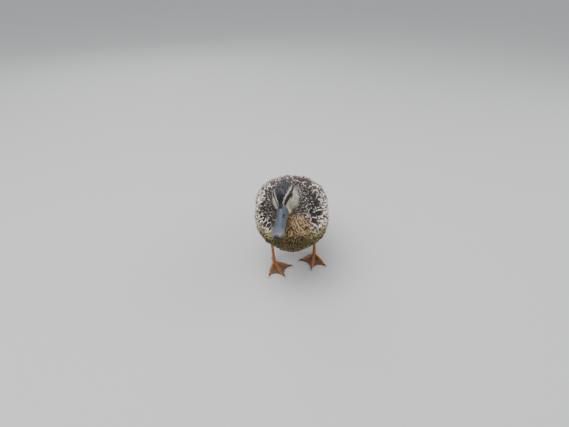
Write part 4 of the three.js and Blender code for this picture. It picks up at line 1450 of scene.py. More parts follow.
def tail_bars(name):
    """Tail feathers: a brown middle with pale, broken bars and a wide whitish edge."""
    material, tree = new_material(name)
    shape, seed = attribute(tree, "vane"), attribute(tree, "seed", "Fac")
    across, along, _ = split(tree, shape)
    mark = use(tree, MARK, vane=shape, mark=attribute(tree, "mark"), seed=seed, ragged=0.35)
    barbs = use(tree, BARBS, vane=shape, lines=52.0)
    offset = add(tree, "ShaderNodeCombineXYZ", {2: calc(tree, "MULTIPLY", seed, 23.0)}).outputs[0]
    moved = vector_calc(tree, "ADD", vector_calc(tree, "MULTIPLY", shape, (1.6, 5.0, 0)), offset)
    noise = add(tree, "ShaderNodeTexNoise", {"Vector": moved, "Scale": 1.3, "Detail": 3.0}).outputs[0]
    slope = calc(tree, "MULTIPLY", calc(tree, "ABSOLUTE", across), 0.9)
    phase = calc(tree, "ADD", calc(tree, "MULTIPLY", along, 34.0), slope)
    phase = calc(tree, "ADD", phase, calc(tree, "MULTIPLY", noise, 7.0))
    bars = ramp(tree, calc(tree, "SINE", phase), 0.15, 0.6)
    pale = calc(tree, "MAXIMUM", mark["Pale Share"], calc(tree, "MULTIPLY", bars, 0.85))
    colour = mix_colour(tree, pale, attribute(tree, "dark", "Color"), attribute(tree, "pale", "Color"))
    colour = scaled_colour(tree, colour, barbs["Shade"])
    normal = bump(tree, barbs["Height"], 0.35, 0.0003)
    finish_with(tree, base_color=colour, roughness=0.55, normal=normal)
    return material


tail_finish = tail_bars("tail_feather")
print("quill finishes made")

# %% A row of large feathers on the side of the body
QUILL_THICKNESS = 0.3  # in mm
UNWRAP_COLUMNS = 6


def skin_at(side, y, z):
    """Where a ray from far out at her side first meets the skin."""
    hit, normal, _, _ = skin_tree.ray_cast(Vector((side * 200, y, z)), Vector((-side, 0, 0)))
    return np.array(hit), np.array(normal)


def between(pair, share):
    """A value between the first and the last of a row."""
    return pair[0] + share * (pair[1] - pair[0])


def row(side, count, start, end, lengths, widths, lifts, slopes, colours, arch=1.2, root=0.55):
    """One row of feathers, with what each has between the first and the last.

    start and end are the first and last root as (y, z) on her side, with y from the wrist. lifts are the
    heights of the tips over the skin. A root rides at its share of that. slopes are in degrees.
    """
    dark, pale, mark = colours
    found = []
    for i, t in enumerate(np.linspace(0, 1, count)):
        y, z = np.add(start, np.multiply(t, np.subtract(end, start)))
        place, normal = skin_at(side, WRIST_Y + y, z)
        angle = math.radians(between(slopes, t))
        lie = np.array((0, math.cos(angle), math.sin(angle)))
        lie = lie - normal * (lie @ normal)
        wave = math.sin(5.1 * i + 2 * side)
        high = between(lifts, t)
        found.append({
            "place": place,
            "lie": lie / np.linalg.norm(lie),
            "out": normal,
            "size": (between(widths, t), between(lengths, t) * (1 + 0.03 * wave), 1),
            "lay": (high * root, high, arch),
            "hold": (1, 1, QUILL_THICKNESS),
            "dark": dark * (1 + 0.08 * wave),
            "pale": pale,
            "mark": mark,
            "seed": (0.5 + 0.37 * i + 0.11 * side) % 1,
        })
    return {key: np.array([feather[key] for feather in found], float) for key in found[0]}


def together(parts):
    """Several rows as one."""
    return {key: np.concatenate([part[key] for part in parts]) for key in parts[0]}


def strip_unwrap(count):
    """A tidy grid of places for feathers that are too few to need the skin's own unwrap."""
    index = np.arange(count)
    return np.stack([index % UNWRAP_COLUMNS, index // UNWRAP_COLUMNS], 1).astype(float)


print("columns on the grid of large feathers:", UNWRAP_COLUMNS)


# %% [markdown]
# ## The rows of the folded wing
# The large feathers of a wing stand in neat rows. Placing each by hand would take hundreds of numbers.
# A row needs only its first and its last feather, and the ones between follow, a little uneven in
# length.

# %% Coverts, secondaries, tertials and scapulars
TERTIAL = (paint(84, 68, 56), paint(196, 176, 150), (0.10, 0.0, 1.0))
SCAPULAR = (paint(40, 26, 22), paint(222, 198, 180), (0.14, 0.9, 1.0))
HIGH_ARCH = {"arch": 1.8}
SHOULDER_LAY = {"arch": 1.8, "root": 0.1}
# each row: feathers, first and last root, lengths, widths, lifts, slopes, colours, how it is laid
COVERT_ROWS = [(8, (0, 139), (8, 108), (36, 32), (13, 12), (2.6, 1.9), (-19, -14), TERTIAL, {})]
SECONDARY_ROWS = [(8, (18, 137), (30, 107), (56, 50), (14, 13), (2.2, 1.5), (-20, -12), TERTIAL, {})]
TERTIAL_ROWS = [(5, (30, 137), (12, 152), (70, 92), (20, 25), (3.4, 5.2), (-19, -23), TERTIAL, HIGH_ARCH)]
SCAPULAR_ROWS = [
    (7, (-26, 160), (34, 150), (46, 58), (20, 22), (4.4, 5.6), (-20, -24), SCAPULAR, SHOULDER_LAY),
    (6, (-30, 150), (10, 146), (44, 52), (20, 21), (3.9, 4.9), (-18, -22), SCAPULAR, SHOULDER_LAY),
    (5, (-34, 140), (-4, 140), (38, 44), (18, 19), (3.4, 4.2), (-14, -20), SCAPULAR, SHOULDER_LAY),
]
WING_PIECES = (
    ("great_coverts_", COVERT_ROWS, covert_finish, "wing_feathers"),
    ("secondaries_", SECONDARY_ROWS, mirror_finish, "wing_feathers"),
    ("tertials_", TERTIAL_ROWS, tertial_finish, "wing_feathers"),
    ("scapulars_", SCAPULAR_ROWS, body_finish, "body_feathers"),
)
for side, name in ((1, "left"), (-1, "right")):
    for piece, rows, finish, slot in WING_PIECES:
        numbers = together([row(side, *values, **laid) for *values, laid in rows])
        unwrap = strip_unwrap(len(numbers["place"]))
        lay_feathers(piece + name, "quill", finish, unwrap, numbers)


# %% [markdown]
# ## Primaries and tail
# The long primaries and the tail feathers leave the body, so they can't be pressed on to its skin. They
# are flat blades set like the cards of a fan, each turned a little further than the one before. The
# outer tail feathers lie lowest, as they do on a real tail.

# %% Feathers that leave the body
def turned(x=0.0, y=0.0, z=0.0):
    """Rotation about z, then x, then y of the turned axes, in degrees."""
    x, y, z = map(math.radians, (x, y, z))
    return np.array(Matrix.Rotation(z, 3, "Z") @ Matrix.Rotation(x, 3, "X") @ Matrix.Rotation(y, 3, "Y"))


FREE_THICKNESS, FREE_ARCH = 0.5, 1.0  # in mm
QUILL_WIDTH = 17


def free_quills(places, turns, lengths, lifts, colours):
    """The values that feathers carry when they keep their own place and turn."""
    count = len(places)
    dark, pale, mark = colours
    shade = 1 + 0.07 * np.sin(np.arange(count) * 2.3)[:, None]
    return {
        "place": np.array(places),
        "lie": np.array([turn[:, 1] for turn in turns]),
        "out": np.array([turn[:, 2] for turn in turns]),
        "size": np.column_stack([np.full(count, QUILL_WIDTH), lengths, np.ones(count)]),
        "lay": np.column_stack([lifts, lifts, np.full(count, FREE_ARCH)]),
        "hold": np.tile((0, 0, FREE_THICKNESS), (count, 1)),
        "dark": dark * shade,
        "pale": pale * shade,
        "mark": np.tile(mark, (count, 1)),
        "seed": (np.arange(count) * 0.37) % 1,
    }


print("width of these feathers in mm:", QUILL_WIDTH)

# %% The primaries
PRIMARY_COUNT = 5
PRIMARY_COLOURS = (DUSKY, EARTH, (0.1, 0, 1))
quill_low, quill_high = (np.array(v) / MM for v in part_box("primaries_left"))
order = np.arange(PRIMARY_COUNT)
for side, name in ((1, "left"), (-1, "right")):
    roots = np.column_stack([
        BODY_MIDDLE + side * (38 - 0.8 * order),
        np.full(PRIMARY_COUNT, quill_low[1] + 0.4),
        quill_high[2] - 3.5 - 1.5 * order,
    ])
    turns = [turned(-21, side * 44, side * (18 - 1.2 * i)) for i in order]
    lifts = np.full(PRIMARY_COUNT, 0.5)
    quills = free_quills(roots, turns, 103 - 9.0 * order, lifts, PRIMARY_COLOURS)
    piece, unwrap = "primary_quills_" + name, strip_unwrap(PRIMARY_COUNT)
    lay_feathers(piece, "quill", primary_finish, unwrap, quills, ["primaries_" + name])

# %% The tail
TAIL_COUNT = 16
TAIL_LENGTH, TAIL_SPREAD, TAIL_SLOPE = 86, 38, -15  # mm, and degrees from side to side and to level
tail_low, tail_high = (np.array(v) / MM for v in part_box("tail"))
tail_root = np.array((BODY_MIDDLE, tail_low[1] + 2.9, tail_high[2] - 1.5))
out = np.linspace(-1, 1, TAIL_COUNT)
out = out[np.argsort(-np.abs(out), kind="stable")]  # the outer feathers lie lowest
tilt = turned(TAIL_SLOPE)
roots = [tail_root + tilt @ (7 * o, 0, -5 * o * o) for o in out]
turns = [tilt @ turned(1, 9 * o, -TAIL_SPREAD / 2 * o) for o in out]
lifts = 1.3 * (1 - np.abs(out))
TAIL_COLOURS = (paint(88, 68, 50), paint(228, 214, 188), (0.26, 0.0, 1.0))
fan = free_quills(roots, turns, TAIL_LENGTH * (1 - 0.2 * out**2), lifts, TAIL_COLOURS)
lay_feathers("tail_quills", "quill", tail_finish, strip_unwrap(TAIL_COUNT), fan, ["tail"])


# %% [markdown]
# ## The bill
# A hen's bill is horn over bone: high at the face, hollowed along the middle and spread flat towards
# the tip, with a hard nail at its end. It is lofted from sections along its length, close enough for
# the nostrils to be pressed in.

# %% Profile of the bill
# heights and half widths at places along the bill, in the head's own millimetres
BILL_STATIONS = (4, 0, -4, -10, -16, -24, -32, -40, -46, -50, -52.2)
BILL_RIDGE = (17.6, 16.6, 14.9, 12.4, 10.6, 8.7, 7.2, 6.1, 5.3, 4.4, 3.0)
BILL_HALF_WIDTH = (9.2, 9.3, 9.1, 8.8, 8.7, 9.1, 9.9, 10.6, 10.7, 10.7, 10.7)
BILL_EDGE = (1.6, 0.9, 0.1, -0.6, -0.8, -0.5, -0.1, 0.2, 0.5, 0.8, 1.2)
BILL_LENGTH = 52
ROUND_FROM, ROUND_LENGTH, ROUND_POWER = 42.5, 9.9, 2.3  # where the outline begins to close at the tip
BILL_RINGS = 113
ROUNDING = 9  # rings over which corners between stations are rounded
NOSTRIL = (-13.0, 0.74)  # how far forward, and how high between the edge and the ridge
NOSTRIL_SIZE = (3.0, 0.12)
NOSTRIL_DEPTH = 2.1
LIP = (0.35, 0.06, 0.08)  # how far the lip stands out, how high it lies, how high it is
fine = np.linspace(BILL_STATIONS[0], BILL_STATIONS[-1], BILL_RINGS)  # the place of each ring


def smooth_profile(values):
    """The profile through the stations with its corners rounded."""
    raw = np.interp(-fine, np.negative(BILL_STATIONS), values)
    padded = np.pad(raw, ROUNDING // 2, mode="edge")
    return np.convolve(padded, np.ones(ROUNDING) / ROUNDING, "valid")


print("bill, stations and rings:", len(BILL_STATIONS), BILL_RINGS)


# %% Helpers for a closed tube and what is stored on it
def closed_tube(rings):
    """Faces of a closed tube from rings of equal length, with both ends filled."""
    count, size = len(rings), len(rings[0])
    faces = []
    for i in range(count - 1):
        for k in range(size):
            n = (k + 1) % size
            faces.append((i * size + k, i * size + n, (i + 1) * size + n, (i + 1) * size + k))
    faces.append(tuple(range(size - 1, -1, -1)))
    faces.append(tuple((count - 1) * size + k for k in range(size)))
    return faces


def outward(made):
    """Turns the faces of a closed piece outwards."""
    shell = bmesh.new()
    shell.from_mesh(made.data)
    bmesh.ops.remove_doubles(shell, verts=shell.verts, dist=1e-7)
    bmesh.ops.recalc_face_normals(shell, faces=shell.faces)
    shell.to_mesh(made.data)
    shell.free()
    return made


def keep_values(made, name, values):
    """Stores a vector for each vertex, for the finish to read."""
    layer = made.data.attributes.new(name, "FLOAT_VECTOR", "POINT")
    layer.data.foreach_set("vector", np.ravel(values))


print("helpers: closed_tube, outward, keep_values")

# %% Upper half of the bill
ridge, half, edge = (smooth_profile(values) for values in (BILL_RIDGE, BILL_HALF_WIDTH, BILL_EDGE))
past_round = np.clip((-fine - ROUND_FROM) / ROUND_LENGTH, 0, 1)
closing = np.sqrt(np.clip(1 - past_round**ROUND_POWER, 0, 1))
half = np.maximum(half * closing, 0.3)
arc = np.linspace(0, math.pi, 45)
rings, stamps = [], []
for i, y in enumerate(fine):
    forward = np.clip(-y / BILL_LENGTH, 0, 1)
    flat = 0.95 - 0.33 * forward
    x = half[i] * np.sign(np.cos(arc)) * np.abs(np.cos(arc)) ** (0.9 - 0.15 * forward)
    high = np.sin(arc) ** flat
    z = edge[i] + (ridge[i] - edge[i]) * high
    lip = LIP[0] * np.exp(-(((high - LIP[1]) / LIP[2]) ** 2))
    x = x + np.sign(x) * lip * closing[i]
    below = [(-half[i] * 0.7, edge[i] + 0.9), (0, edge[i] + 1.4), (half[i] * 0.7, edge[i] + 0.9)]
    rings.append([(a, y, b) for a, b in [*zip(x, z), *below]])
    hole = ((y - NOSTRIL[0]) / NOSTRIL_SIZE[0]) ** 2 + ((high - NOSTRIL[1]) / NOSTRIL_SIZE[1]) ** 2
    stamps += [(forward, h, math.exp(-(d**2.0))) for h, d in zip(high, hole)] + [(forward, 0, 0)] * 3
bill_points = np.array(rings).reshape(-1, 3)
stamps = np.array(stamps)
pressed = NOSTRIL_DEPTH * stamps[:, 2]
bill_points[:, 0] -= 0.8 * pressed * np.sign(bill_points[:, 0])
bill_points[:, 2] -= 0.6 * pressed
bill = mesh_object("bill_upper_horn", from_head(bill_points) * MM, closed_tube(rings))
keep_values(bill, "bill", stamps)
outward(bill)
print("upper half, points:", len(bill.data.vertices))

# %% Lower half of the bill
LOWER_DEPTH = ((-4, 10, 30, 46, 52), (6.2, 4.6, 3.0, 2.0, 1.0))  # places along it, and how deep it is
turn_round = np.linspace(0, math.pi, 21)
rings, stamps = [], []
for y, w, top, close in list(zip(fine, half * 0.93 - 0.35, edge - 0.15, closing))[:-3:2]:
    w = max(w, 0.3)
    deep = np.interp(-y, *LOWER_DEPTH) * max(close, 0.3)
    keel = [(w * math.cos(a), y, top - deep * math.sin(a) ** 0.7) for a in turn_round]
    rings.append([*keel, (-w * 0.6, y, top + 0.5), (w * 0.6, y, top + 0.5)])
    forward = np.clip(-y / BILL_LENGTH, 0, 1)
    stamps += [(forward, math.sin(a), 0) for a in turn_round] + [(0, 0, 0)] * 2
lower_points = np.array(rings).reshape(-1, 3)
bill_under = mesh_object("bill_lower_horn", from_head(lower_points) * MM, closed_tube(rings))
keep_values(bill_under, "bill", stamps)
outward(bill_under)
print("lower half, points:", len(bill_under.data.vertices))

# %% The nail
# the nail is wider than a real one, so that its black also stands for painted shade under the tip of the
# bill
NAIL_AND_SHADE_RADII = (5.0, 3.7, 2.1)
NAIL_BALL = (0, -50.2, 3.2)  # its middle, in the head's own millimetres
NAIL_HOOK = (-47.0, 0.06)  # where it starts to bend down, and how strongly


def unit_ball(name, around, up):
    """A new ball of radius one, and its points."""
    ball = bmesh.new()
    bmesh.ops.create_uvsphere(ball, u_segments=around, v_segments=up, radius=1)
    mesh = bpy.data.meshes.new(name)
    ball.to_mesh(mesh)
    ball.free()
    mesh.polygons.foreach_set("use_smooth", [True] * len(mesh.polygons))
    made = bpy.data.objects.new(name, mesh)
    bpy.context.scene.collection.objects.link(made)
    return made, points_of(mesh) * MM


bill_nail, nail_points = unit_ball("bill_nail_horn", 28, 18)
nail_points = nail_points * NAIL_AND_SHADE_RADII + NAIL_BALL
nail_points[:, 2] -= NAIL_HOOK[1] * np.clip(NAIL_HOOK[0] - nail_points[:, 1], 0, 9) ** 2
move_points(bill_nail.data, from_head(nail_points))
print("nail width in mm:", 2 * NAIL_AND_SHADE_RADII[0])


# %% [markdown]
# ## The horn of the bill
# The bill is matt and slightly greasy, slate on top and warmer below, with faint blotches and fine wear
# along its length. A flat colour would look like plastic. Three noises of different size, one of them
# stretched along the horn, break up the colour, the gloss and the relief together.

# %% Finish of the bill
def horn_finish(name, colours, gloss):
    """Horn with colours for ridge, tip and margin, and painted shade in the nostril, mottled and worn
    lengthwise.
    """
    top, tip, margin, hollow_shade = colours
    material, tree = new_material(name)
    forward, high, nostril = split(tree, attribute(tree, "bill"))
    place = add(tree, "ShaderNodeTexCoord").outputs["Object"]
    blotch = add(tree, "ShaderNodeTexNoise", {"Vector": place, "Scale": 160.0, "Detail": 4.0}).outputs[0]
    spots = add(tree, "ShaderNodeTexNoise", {"Vector": place, "Scale": 900.0, "Detail": 2.0}).outputs[0]
    near_tip = calc(tree, "ADD", forward, calc(tree, "MULTIPLY", blotch, 0.3))
    colour = mix_colour(tree, ramp(tree, near_tip, 0.7, 1.12), (*top, 1), (*tip, 1))
    uneven = calc(tree, "MULTIPLY", calc(tree, "SUBTRACT", blotch, 0.5), 0.5)
    rim = ramp(tree, calc(tree, "ADD", high, uneven), 0.62, 0.30)
    colour = mix_colour(tree, rim, colour, (*margin, 1))
    # the nostril's colour is painted shade in its hollow
    colour = mix_colour(tree, ramp(tree, nostril, 0.15, 0.5), colour, (*hollow_shade, 1))
    colour = scaled_colour(tree, colour, ramp(tree, blotch, 0.25, 0.75, 0.86, 1.12))
    colour = scaled_colour(tree, colour, ramp(tree, spots, 0.3, 0.7, 0.93, 1.05))
    along_horn = vector_calc(tree, "MULTIPLY", attribute(tree, "bill"), (2.4, 17.0, 0))
    wear = add(tree, "ShaderNodeTexNoise", {"Vector": along_horn, "Scale": 1.0, "Detail": 3.0}).outputs[0]
    colour = scaled_colour(tree, colour, ramp(tree, wear, 0.3, 0.7, 0.82, 1.14))
    height = calc(tree, "ADD", blotch, calc(tree, "MULTIPLY", spots, 0.3))
    height = calc(tree, "ADD", height, calc(tree, "MULTIPLY", wear, 0.6))
    normal = bump(tree, height, 0.25, 0.0003)
    rough = ramp(tree, blotch, 0.3, 0.7, gloss - 0.06, gloss + 0.1)
    shader = finish_with(tree, base_color=colour, roughness=rough, normal=normal)
    shader.inputs["Specular IOR Level"].default_value = 0.5
    return material


# the last colour, near black, is painted shade inside the nostril
slate = (paint(58, 66, 80), paint(97, 94, 108), paint(88, 80, 60), paint(14, 12, 12))
bill.data.materials.append(horn_finish("bill_slate", slate, 0.42))
under_tones = (paint(150, 110, 70), paint(120, 96, 80), paint(124, 96, 62), paint(120, 90, 60))
bill_under.data.materials.append(horn_finish("bill_under", under_tones, 0.45))


def plain_horn(name, colour, gloss, scale):
    """Dark horn with a fine grain, for the nail and the claws."""
    material, tree = new_material(name)
    place = add(tree, "ShaderNodeTexCoord").outputs["Object"]
    grain = add(tree, "ShaderNodeTexNoise", {"Vector": place, "Scale": scale, "Detail": 3.0}).outputs[0]
    tone = scaled_colour(tree, (*colour,), ramp(tree, grain, 0.3, 0.7, 0.7, 1.35))
    rough = ramp(tree, grain, 0.3, 0.7, gloss - 0.05, gloss + 0.12)
    finish_with(tree, base_color=tone, roughness=rough, normal=bump(tree, grain, 0.3, 0.0002))
    return material


bill_nail.data.materials.append(plain_horn("nail_black", paint(26, 24, 27), 0.36, 600.0))
for made, node, slot in (
    (bill, "bill_upper", "bill_horn"),
    (bill_under, "bill_lower", "bill_lower_horn"),
    (bill_nail, "bill_nail", "bill_nail"),
):
    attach(made, "root")
    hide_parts(node)
print("bill finished")


# %% [markdown]
# ## Eyes and lids
# A mallard's eye is a dark brown ball that shows only a round window between its lids. The ball sits at
# the depth of the solid. The iris and the pupil are rings about the line of sight, and the wet front is
# a clear coat.

# %% Eyeballs
EYE_RADIUS = 5.2
GAZE = (1, -0.20, 0.06)  # the left eye's line of sight in the head's axes
PUPIL = (0.40, 0.45)  # where it ends and the iris begins, as angles from the line of sight
IRIS = (0.66, 0.74)  # where the iris ends and the rim begins
CORNEA = (0.05, 0.55)  # how far the front bulges, in radii, and how wide the bulge is, in radians


def eye_finish():
    """A black pupil, a dark brown iris and a darker rim, under a wet coat."""
    material, tree = new_material("eye_brown")
    off_axis = split(tree, attribute(tree, "gaze"))[0]
    place = add(tree, "ShaderNodeTexCoord").outputs["Object"]
    streaks = add(tree, "ShaderNodeTexNoise", {"Vector": place, "Scale": 1500.0, "Detail": 2.0}).outputs[0]
    iris = mix_colour(tree, streaks, (*paint(18, 10, 6), 1), (*paint(44, 25, 14), 1))
    colour = mix_colour(tree, ramp(tree, off_axis, *PUPIL), (0.002, 0.002, 0.002, 1), iris)
    colour = mix_colour(tree, ramp(tree, off_axis, *IRIS), colour, (*paint(20, 14, 12), 1))
    shader = finish_with(tree, base_color=colour, roughness=0.12)
    shader.inputs["Specular IOR Level"].default_value = 0.15
    shader.inputs["Coat Weight"].default_value = 0.6
    shader.inputs["Coat Roughness"].default_value = 0.02
    return material


def gaze_of(side):
    """The line of sight of one eye, one unit long."""
    gaze = np.array(GAZE) * (side, 1, 1)
    return gaze / np.linalg.norm(gaze)


eye_material = eye_finish()
for side, name in ((1, "left"), (-1, "right")):
    eyeball, sphere = unit_ball("eyeball_" + name, 40, 26)
    off_axis = np.arccos(np.clip(sphere @ gaze_of(side), -1, 1))
    swell = 1 + CORNEA[0] * np.exp(-((off_axis / CORNEA[1]) ** 2))
    place = np.array(EYE_PLACE) * (side, 1, 1)
    move_points(eyeball.data, from_head(sphere * EYE_RADIUS * swell[:, None] + place))
    keep_values(eyeball, "gaze", np.stack([off_axis, 0 * off_axis, 0 * off_axis], 1))
    eyeball.data.materials.append(eye_material)
    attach(eyeball, "root")
    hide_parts("eye_" + name)
    print(eyeball.name, "radius in mm:", EYE_RADIUS)

# %% [markdown]
# ## Lids
# A duck's lids are a narrow ring of bare, dark skin with fine folds. Cut into the skin they would need
# a much finer mesh all over, so each pair is one soft ring that rests on the ball.

# %% Lids
LID_OPENING = (3.9, 3.35)  # half length and half height of the window
LID_WIDTH = 1.15
LID_STEPS = 40
# a closed section of the lid: how far out from the window, as a share, and how high over the ball, in mm
LID_PROFILE = (
    (0.0, -0.25),
    (0.05, 0.25),
    (0.3, 0.5),
    (0.65, 0.35),
    (1.0, -0.3),
    (0.7, -0.7),
    (0.25, -0.6),
)


def lid_ring(name, side):
    """A soft rim round the eye's window that sinks under the feathers at its outer edge."""
    gaze = gaze_of(side)
    back = np.array((0, 1, 0)) - gaze * gaze[1]
    back /= np.linalg.norm(back)
    up = np.cross(gaze, back) * side
    place = np.array(EYE_PLACE) * (side, 1, 1)
    points, faces = [], []
    for k in range(LID_STEPS):
        a = 2 * math.pi * k / LID_STEPS
        wide = LID_OPENING[0] * abs(math.cos(a)) ** 0.9 * math.copysign(1, math.cos(a))
        high = LID_OPENING[1] * abs(math.sin(a)) ** 1.05 * math.copysign(1, math.sin(a))
        reach = math.hypot(wide, high)
        for out_share, lift in LID_PROFILE:
            r = (reach + out_share * LID_WIDTH) / reach
            x, z = wide * r, high * r
            depth = math.sqrt(max(EYE_RADIUS**2 - min(x * x + z * z, 24.0), 0.5))
            points.append(place + back * x + up * z + gaze * (depth + lift))
    size = len(LID_PROFILE)
    for k in range(LID_STEPS):
        n = (k + 1) % LID_STEPS
        for j in range(size):
            m = (j + 1) % size
            faces.append((k * size + j, k * size + m, n * size + m, n * size + j))
    return outward(mesh_object(name, from_head(points) * MM, faces))


lid_material, tree = new_material("lid_skin")
place = add(tree, "ShaderNodeTexCoord").outputs["Object"]
folds = add(tree, "ShaderNodeTexNoise", {"Vector": place, "Scale": 1400.0, "Detail": 3.0}).outputs[0]
tone = mix_colour(tree, folds, (*paint(24, 20, 19), 1), (*paint(62, 54, 48), 1))
finish_with(tree, base_color=tone, roughness=0.6, normal=bump(tree, folds, 0.5, 0.0002))
for side, name in ((1, "left"), (-1, "right")):
    lid = lid_ring("lids_" + name, side)
    lid.data.materials.append(lid_material)
    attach(lid, "root")
print("lids: window in mm", 2 * LID_OPENING[0], "by", 2 * LID_OPENING[1])


# %% [markdown]
# ## Legs and feet
# Below the feathered thigh the leg is bare. Its skin is orange, cut into a row of wide plates down the
# front of the shank and along the top of each toe and into small round scales elsewhere. The webs
# between the toes are thinner and greyer. The solids of shank, foot and hind toe are fused into one
# skin, and every point learns how far it is from the nearest toe and how far along that toe it lies, so
# that plates and webs fall in the right places.

# %% The bones of each foot
FOOT_VOXEL = 0.75 * MM
CLAW_REACH = 12.9  # from the ankle back to the middle of the hind claw
ANKLE_HEIGHT, TOE_HEIGHT = 3.0, 1.8
TOES = ("inner", "middle", "outer", "hind")


def flat_middle(node):
    """The middle of a solid's box, seen from above."""
    return middle_of(node)[:2]


def bones_of(name):
    """The ankle, and the lines from it that the toes and the shank follow, in millimetres."""
    hind, middle = flat_middle("claw_hind_" + name), flat_middle("claw_middle_" + name)
    ahead = (middle - hind) / np.linalg.norm(middle - hind)
    ankle = np.array((*(hind + ahead * CLAW_REACH), ANKLE_HEIGHT))
    shank_low, shank_high = (np.array(v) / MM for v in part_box("shank_" + name))
    hock = np.array((*(shank_low[:2] + shank_high[:2]) / 2, shank_high[2]))
    hock[1] = shank_high[1] - 4
    tips = {toe: np.array((*flat_middle(f"claw_{toe}_{name}"), TOE_HEIGHT)) for toe in TOES}
    return ankle, hock, tips


def line_reach(points, start, end):
    """Distance from a line, and distance along it from its start."""
    axis = end - start
    length = np.linalg.norm(axis)
    along = np.clip((points - start) @ axis / length, 0, length)
    return np.linalg.norm(points - start - along[:, None] * axis / length, axis=1), along


print("toes:", ", ".join(TOES))


# %% [markdown]
# ## The skin of legs and feet
# Modelling every plate would take thousands of faces that hardly show. A bump draws them instead: bands
# that follow the distance along each toe stand for the plates, and cells stand for the small scales.
# The joints are a little darker than the rest, the grooves between plates and scales are darkened as
# painted shade, and the webs have a colour of their own.

# %% Finish of legs and feet
def foot_finish():
    """Orange skin with plates down the front and scales elsewhere, painted shade in the grooves between
    them, and greyer webs.
    """
    material, tree = new_material("leg_orange")
    web, run, joint = split(tree, attribute(tree, "leg"))
    place = add(tree, "ShaderNodeTexCoord").outputs["Object"]
    cells = {"Vector": place, "Scale": 900.0}
    scales = add(tree, "ShaderNodeTexVoronoi", cells, feature="DISTANCE_TO_EDGE")
    fine_scales = ramp(tree, scales.outputs["Distance"], 0.0, 0.16)
    blotch = add(tree, "ShaderNodeTexNoise", {"Vector": place, "Scale": 240.0, "Detail": 3.0}).outputs[0]
    bent = calc(tree, "ADD", run, calc(tree, "MULTIPLY", blotch, 1.4))
    wave = calc(tree, "SINE", calc(tree, "MULTIPLY", bent, 3.3))
    plates = ramp(tree, wave, -0.95, -0.55)
    toe = calc(tree, "SUBTRACT", 1.0, web)
    height = mixed(tree, toe, fine_scales, plates)
    light_orange, orange = (*paint(176, 114, 54), 1), (*paint(150, 91, 38), 1)
    skin_tone = mix_colour(tree, ramp(tree, blotch, 0.35, 0.65), orange, light_orange)
    on_joint = calc(tree, "MULTIPLY", joint, 0.55)
    skin_tone = mix_colour(tree, on_joint, skin_tone, (*paint(108, 64, 32), 1))
    # painted shade in the grooves between plates and scales
    groove_shade = calc(tree, "MULTIPLY", calc(tree, "SUBTRACT", 1.0, height), 0.5)
    skin_tone = mix_colour(tree, groove_shade, skin_tone, (*paint(92, 54, 26), 1))
    dark_web, light_web = (*paint(100, 80, 74), 1), (*paint(126, 100, 86), 1)
    webbing = mix_colour(tree, ramp(tree, blotch, 0.3, 0.7), dark_web, light_web)
    # painted shade between the scales of the webs
    shade_between_scales = calc(tree, "SUBTRACT", 1.0, fine_scales)
    webbing = mix_colour(tree, shade_between_scales, webbing, (*paint(70, 52, 50), 1))
    colour = mix_colour(tree, web, skin_tone, webbing)
    normal = bump(tree, height, 0.5, 0.0003)
    rough = ramp(tree, blotch, 0.3, 0.7, 0.42, 0.6)
    shader = finish_with(tree, base_color=colour, roughness=rough, normal=normal)
    shader.inputs["Subsurface Weight"].default_value = 0.08
    shader.inputs["Subsurface Radius"].default_value = (0.002, 0.0008, 0.0004)
    return material


leg_material = foot_finish()
print("foot finish, nodes:", len(leg_material.node_tree.nodes))

# %% Both legs
JOINTS = (0.36, 0.68)  # where the toes bend, as shares of their length
JOINT_HALF = 1.6
HOCK_HEIGHT, HOCK_HALF = 44, 4
JOINT_SWELL = 0.22

for name in ("left", "right"):
    nodes = ["foot_" + name, "shank_" + name, "hind_toe_" + name]
    foot = fused("leg_skin_" + name, nodes, FOOT_VOXEL, 3)
    ankle, hock, tips = bones_of(name)
    points = points_of(foot.data)
    lines = [line_reach(points, ankle, end) for end in (*tips.values(), hock)]
    apart = np.array([distance for distance, _ in lines])
    nearest = apart.argmin(axis=0)
    run = np.array([along for _, along in lines])[nearest, np.arange(len(points))]
    web = smoothstep(2.6, 4.6, apart.min(axis=0)) * smoothstep(7, 4, points[:, 2])
    joints = 0.7 * np.exp(-(((points[:, 2] - HOCK_HEIGHT) / HOCK_HALF) ** 2))
    for k, tip in enumerate(tips.values()):
        for share in JOINTS:
            off_joint = (run - share * np.linalg.norm(tip - ankle)) / JOINT_HALF
            joints = np.maximum(joints, (nearest == k) * np.exp(-(off_joint**2)))
    swell = JOINT_SWELL * joints * (1 - web)
    points = points + normals_of(foot.data) * swell[:, None]
    points[:, 2] = np.maximum(points[:, 2], 0.0)
    move_points(foot.data, points)
    keep_values(foot, "leg", np.stack([web, run, joints], 1))
    foot.data.materials.append(leg_material)
    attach(foot, "root")
    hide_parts(*nodes)
    print(foot.name, "faces:", len(foot.data.polygons))

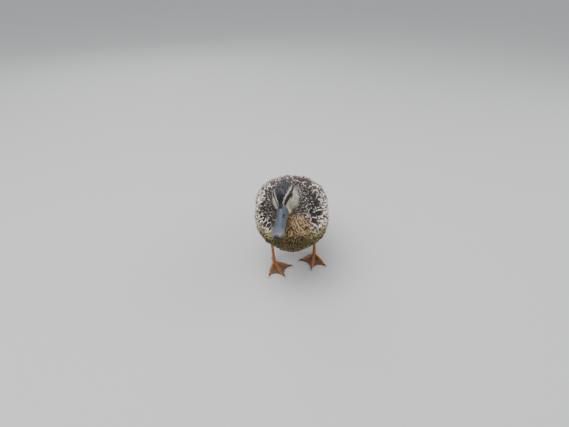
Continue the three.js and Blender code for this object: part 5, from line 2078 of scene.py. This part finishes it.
# %% [markdown]
# ## Claws
# A duck's claws are short, blunt and dark, and bend down from the end of the toe. Each is a stack of
# shrinking rings along a curve. The four of a foot are joined, as they share one finish.

# %% Claws
CLAW_SIDES, CLAW_RINGS = 12, 9
CLAW_HALF_LENGTH, CLAW_RADIUS = 4.2, 1.55
CLAW_POINT = 0.12  # radius of its end
HIND_CLAW = 0.62  # its size beside the others


def claw_points(middle, ahead):
    """The rings of a curved, tapering claw round the given middle."""
    across, rise, ahead = np.array((ahead[1], -ahead[0], 0)), np.array((0, 0, 1)), np.array((*ahead, 0))
    rings = []
    for i in range(CLAW_RINGS):
        t = i / (CLAW_RINGS - 1)
        centre = np.array((*middle, 0)) + ahead * (CLAW_HALF_LENGTH * (2 * t - 1))
        centre[2] = 2.35 + 0.75 * math.sin(math.pi * min(t * 1.25, 1)) - 1.7 * t**2
        radius = max(CLAW_RADIUS * (1 - t) ** 0.6, CLAW_POINT)
        turns = [2 * math.pi * k / CLAW_SIDES for k in range(CLAW_SIDES)]
        wide = across * 0.8 * radius
        high = rise * radius
        rings.append([centre + wide * math.cos(a) + high * math.sin(a) for a in turns])
    return rings


claw_material = plain_horn("claw_horn", paint(48, 38, 34), 0.4, 700.0)
for name in ("left", "right"):
    ankle, _, tips = bones_of(name)
    points, faces = [], []
    for toe, tip in tips.items():
        ahead = (tip - ankle)[:2] / np.linalg.norm((tip - ankle)[:2])
        size = HIND_CLAW if toe == "hind" else 1.0
        rings = claw_points(tip[:2], ahead)
        middle = np.array((*tip[:2], 1.2))
        shrunk = (np.array(rings).reshape(-1, 3) - middle) * size + middle
        base = len(points)
        points += [np.array((p[0], p[1], max(p[2], 0.15))) for p in shrunk]
        faces += [tuple(base + v for v in face) for face in closed_tube(rings)]
    claws = outward(mesh_object("claws_" + name, np.array(points) * MM, faces))
    claws.data.materials.append(claw_material)
    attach(claws, "root")
    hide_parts(*[f"claw_{toe}_{name}" for toe in tips])
    print(claws.name, "claws:", len(tips))

# %% [markdown]
# ## The finished model
# The pattern shapes of the feathers have done their work and go.

# %% Take away the pattern shapes
for shape in VANES.values():
    bpy.data.objects.remove(shape)
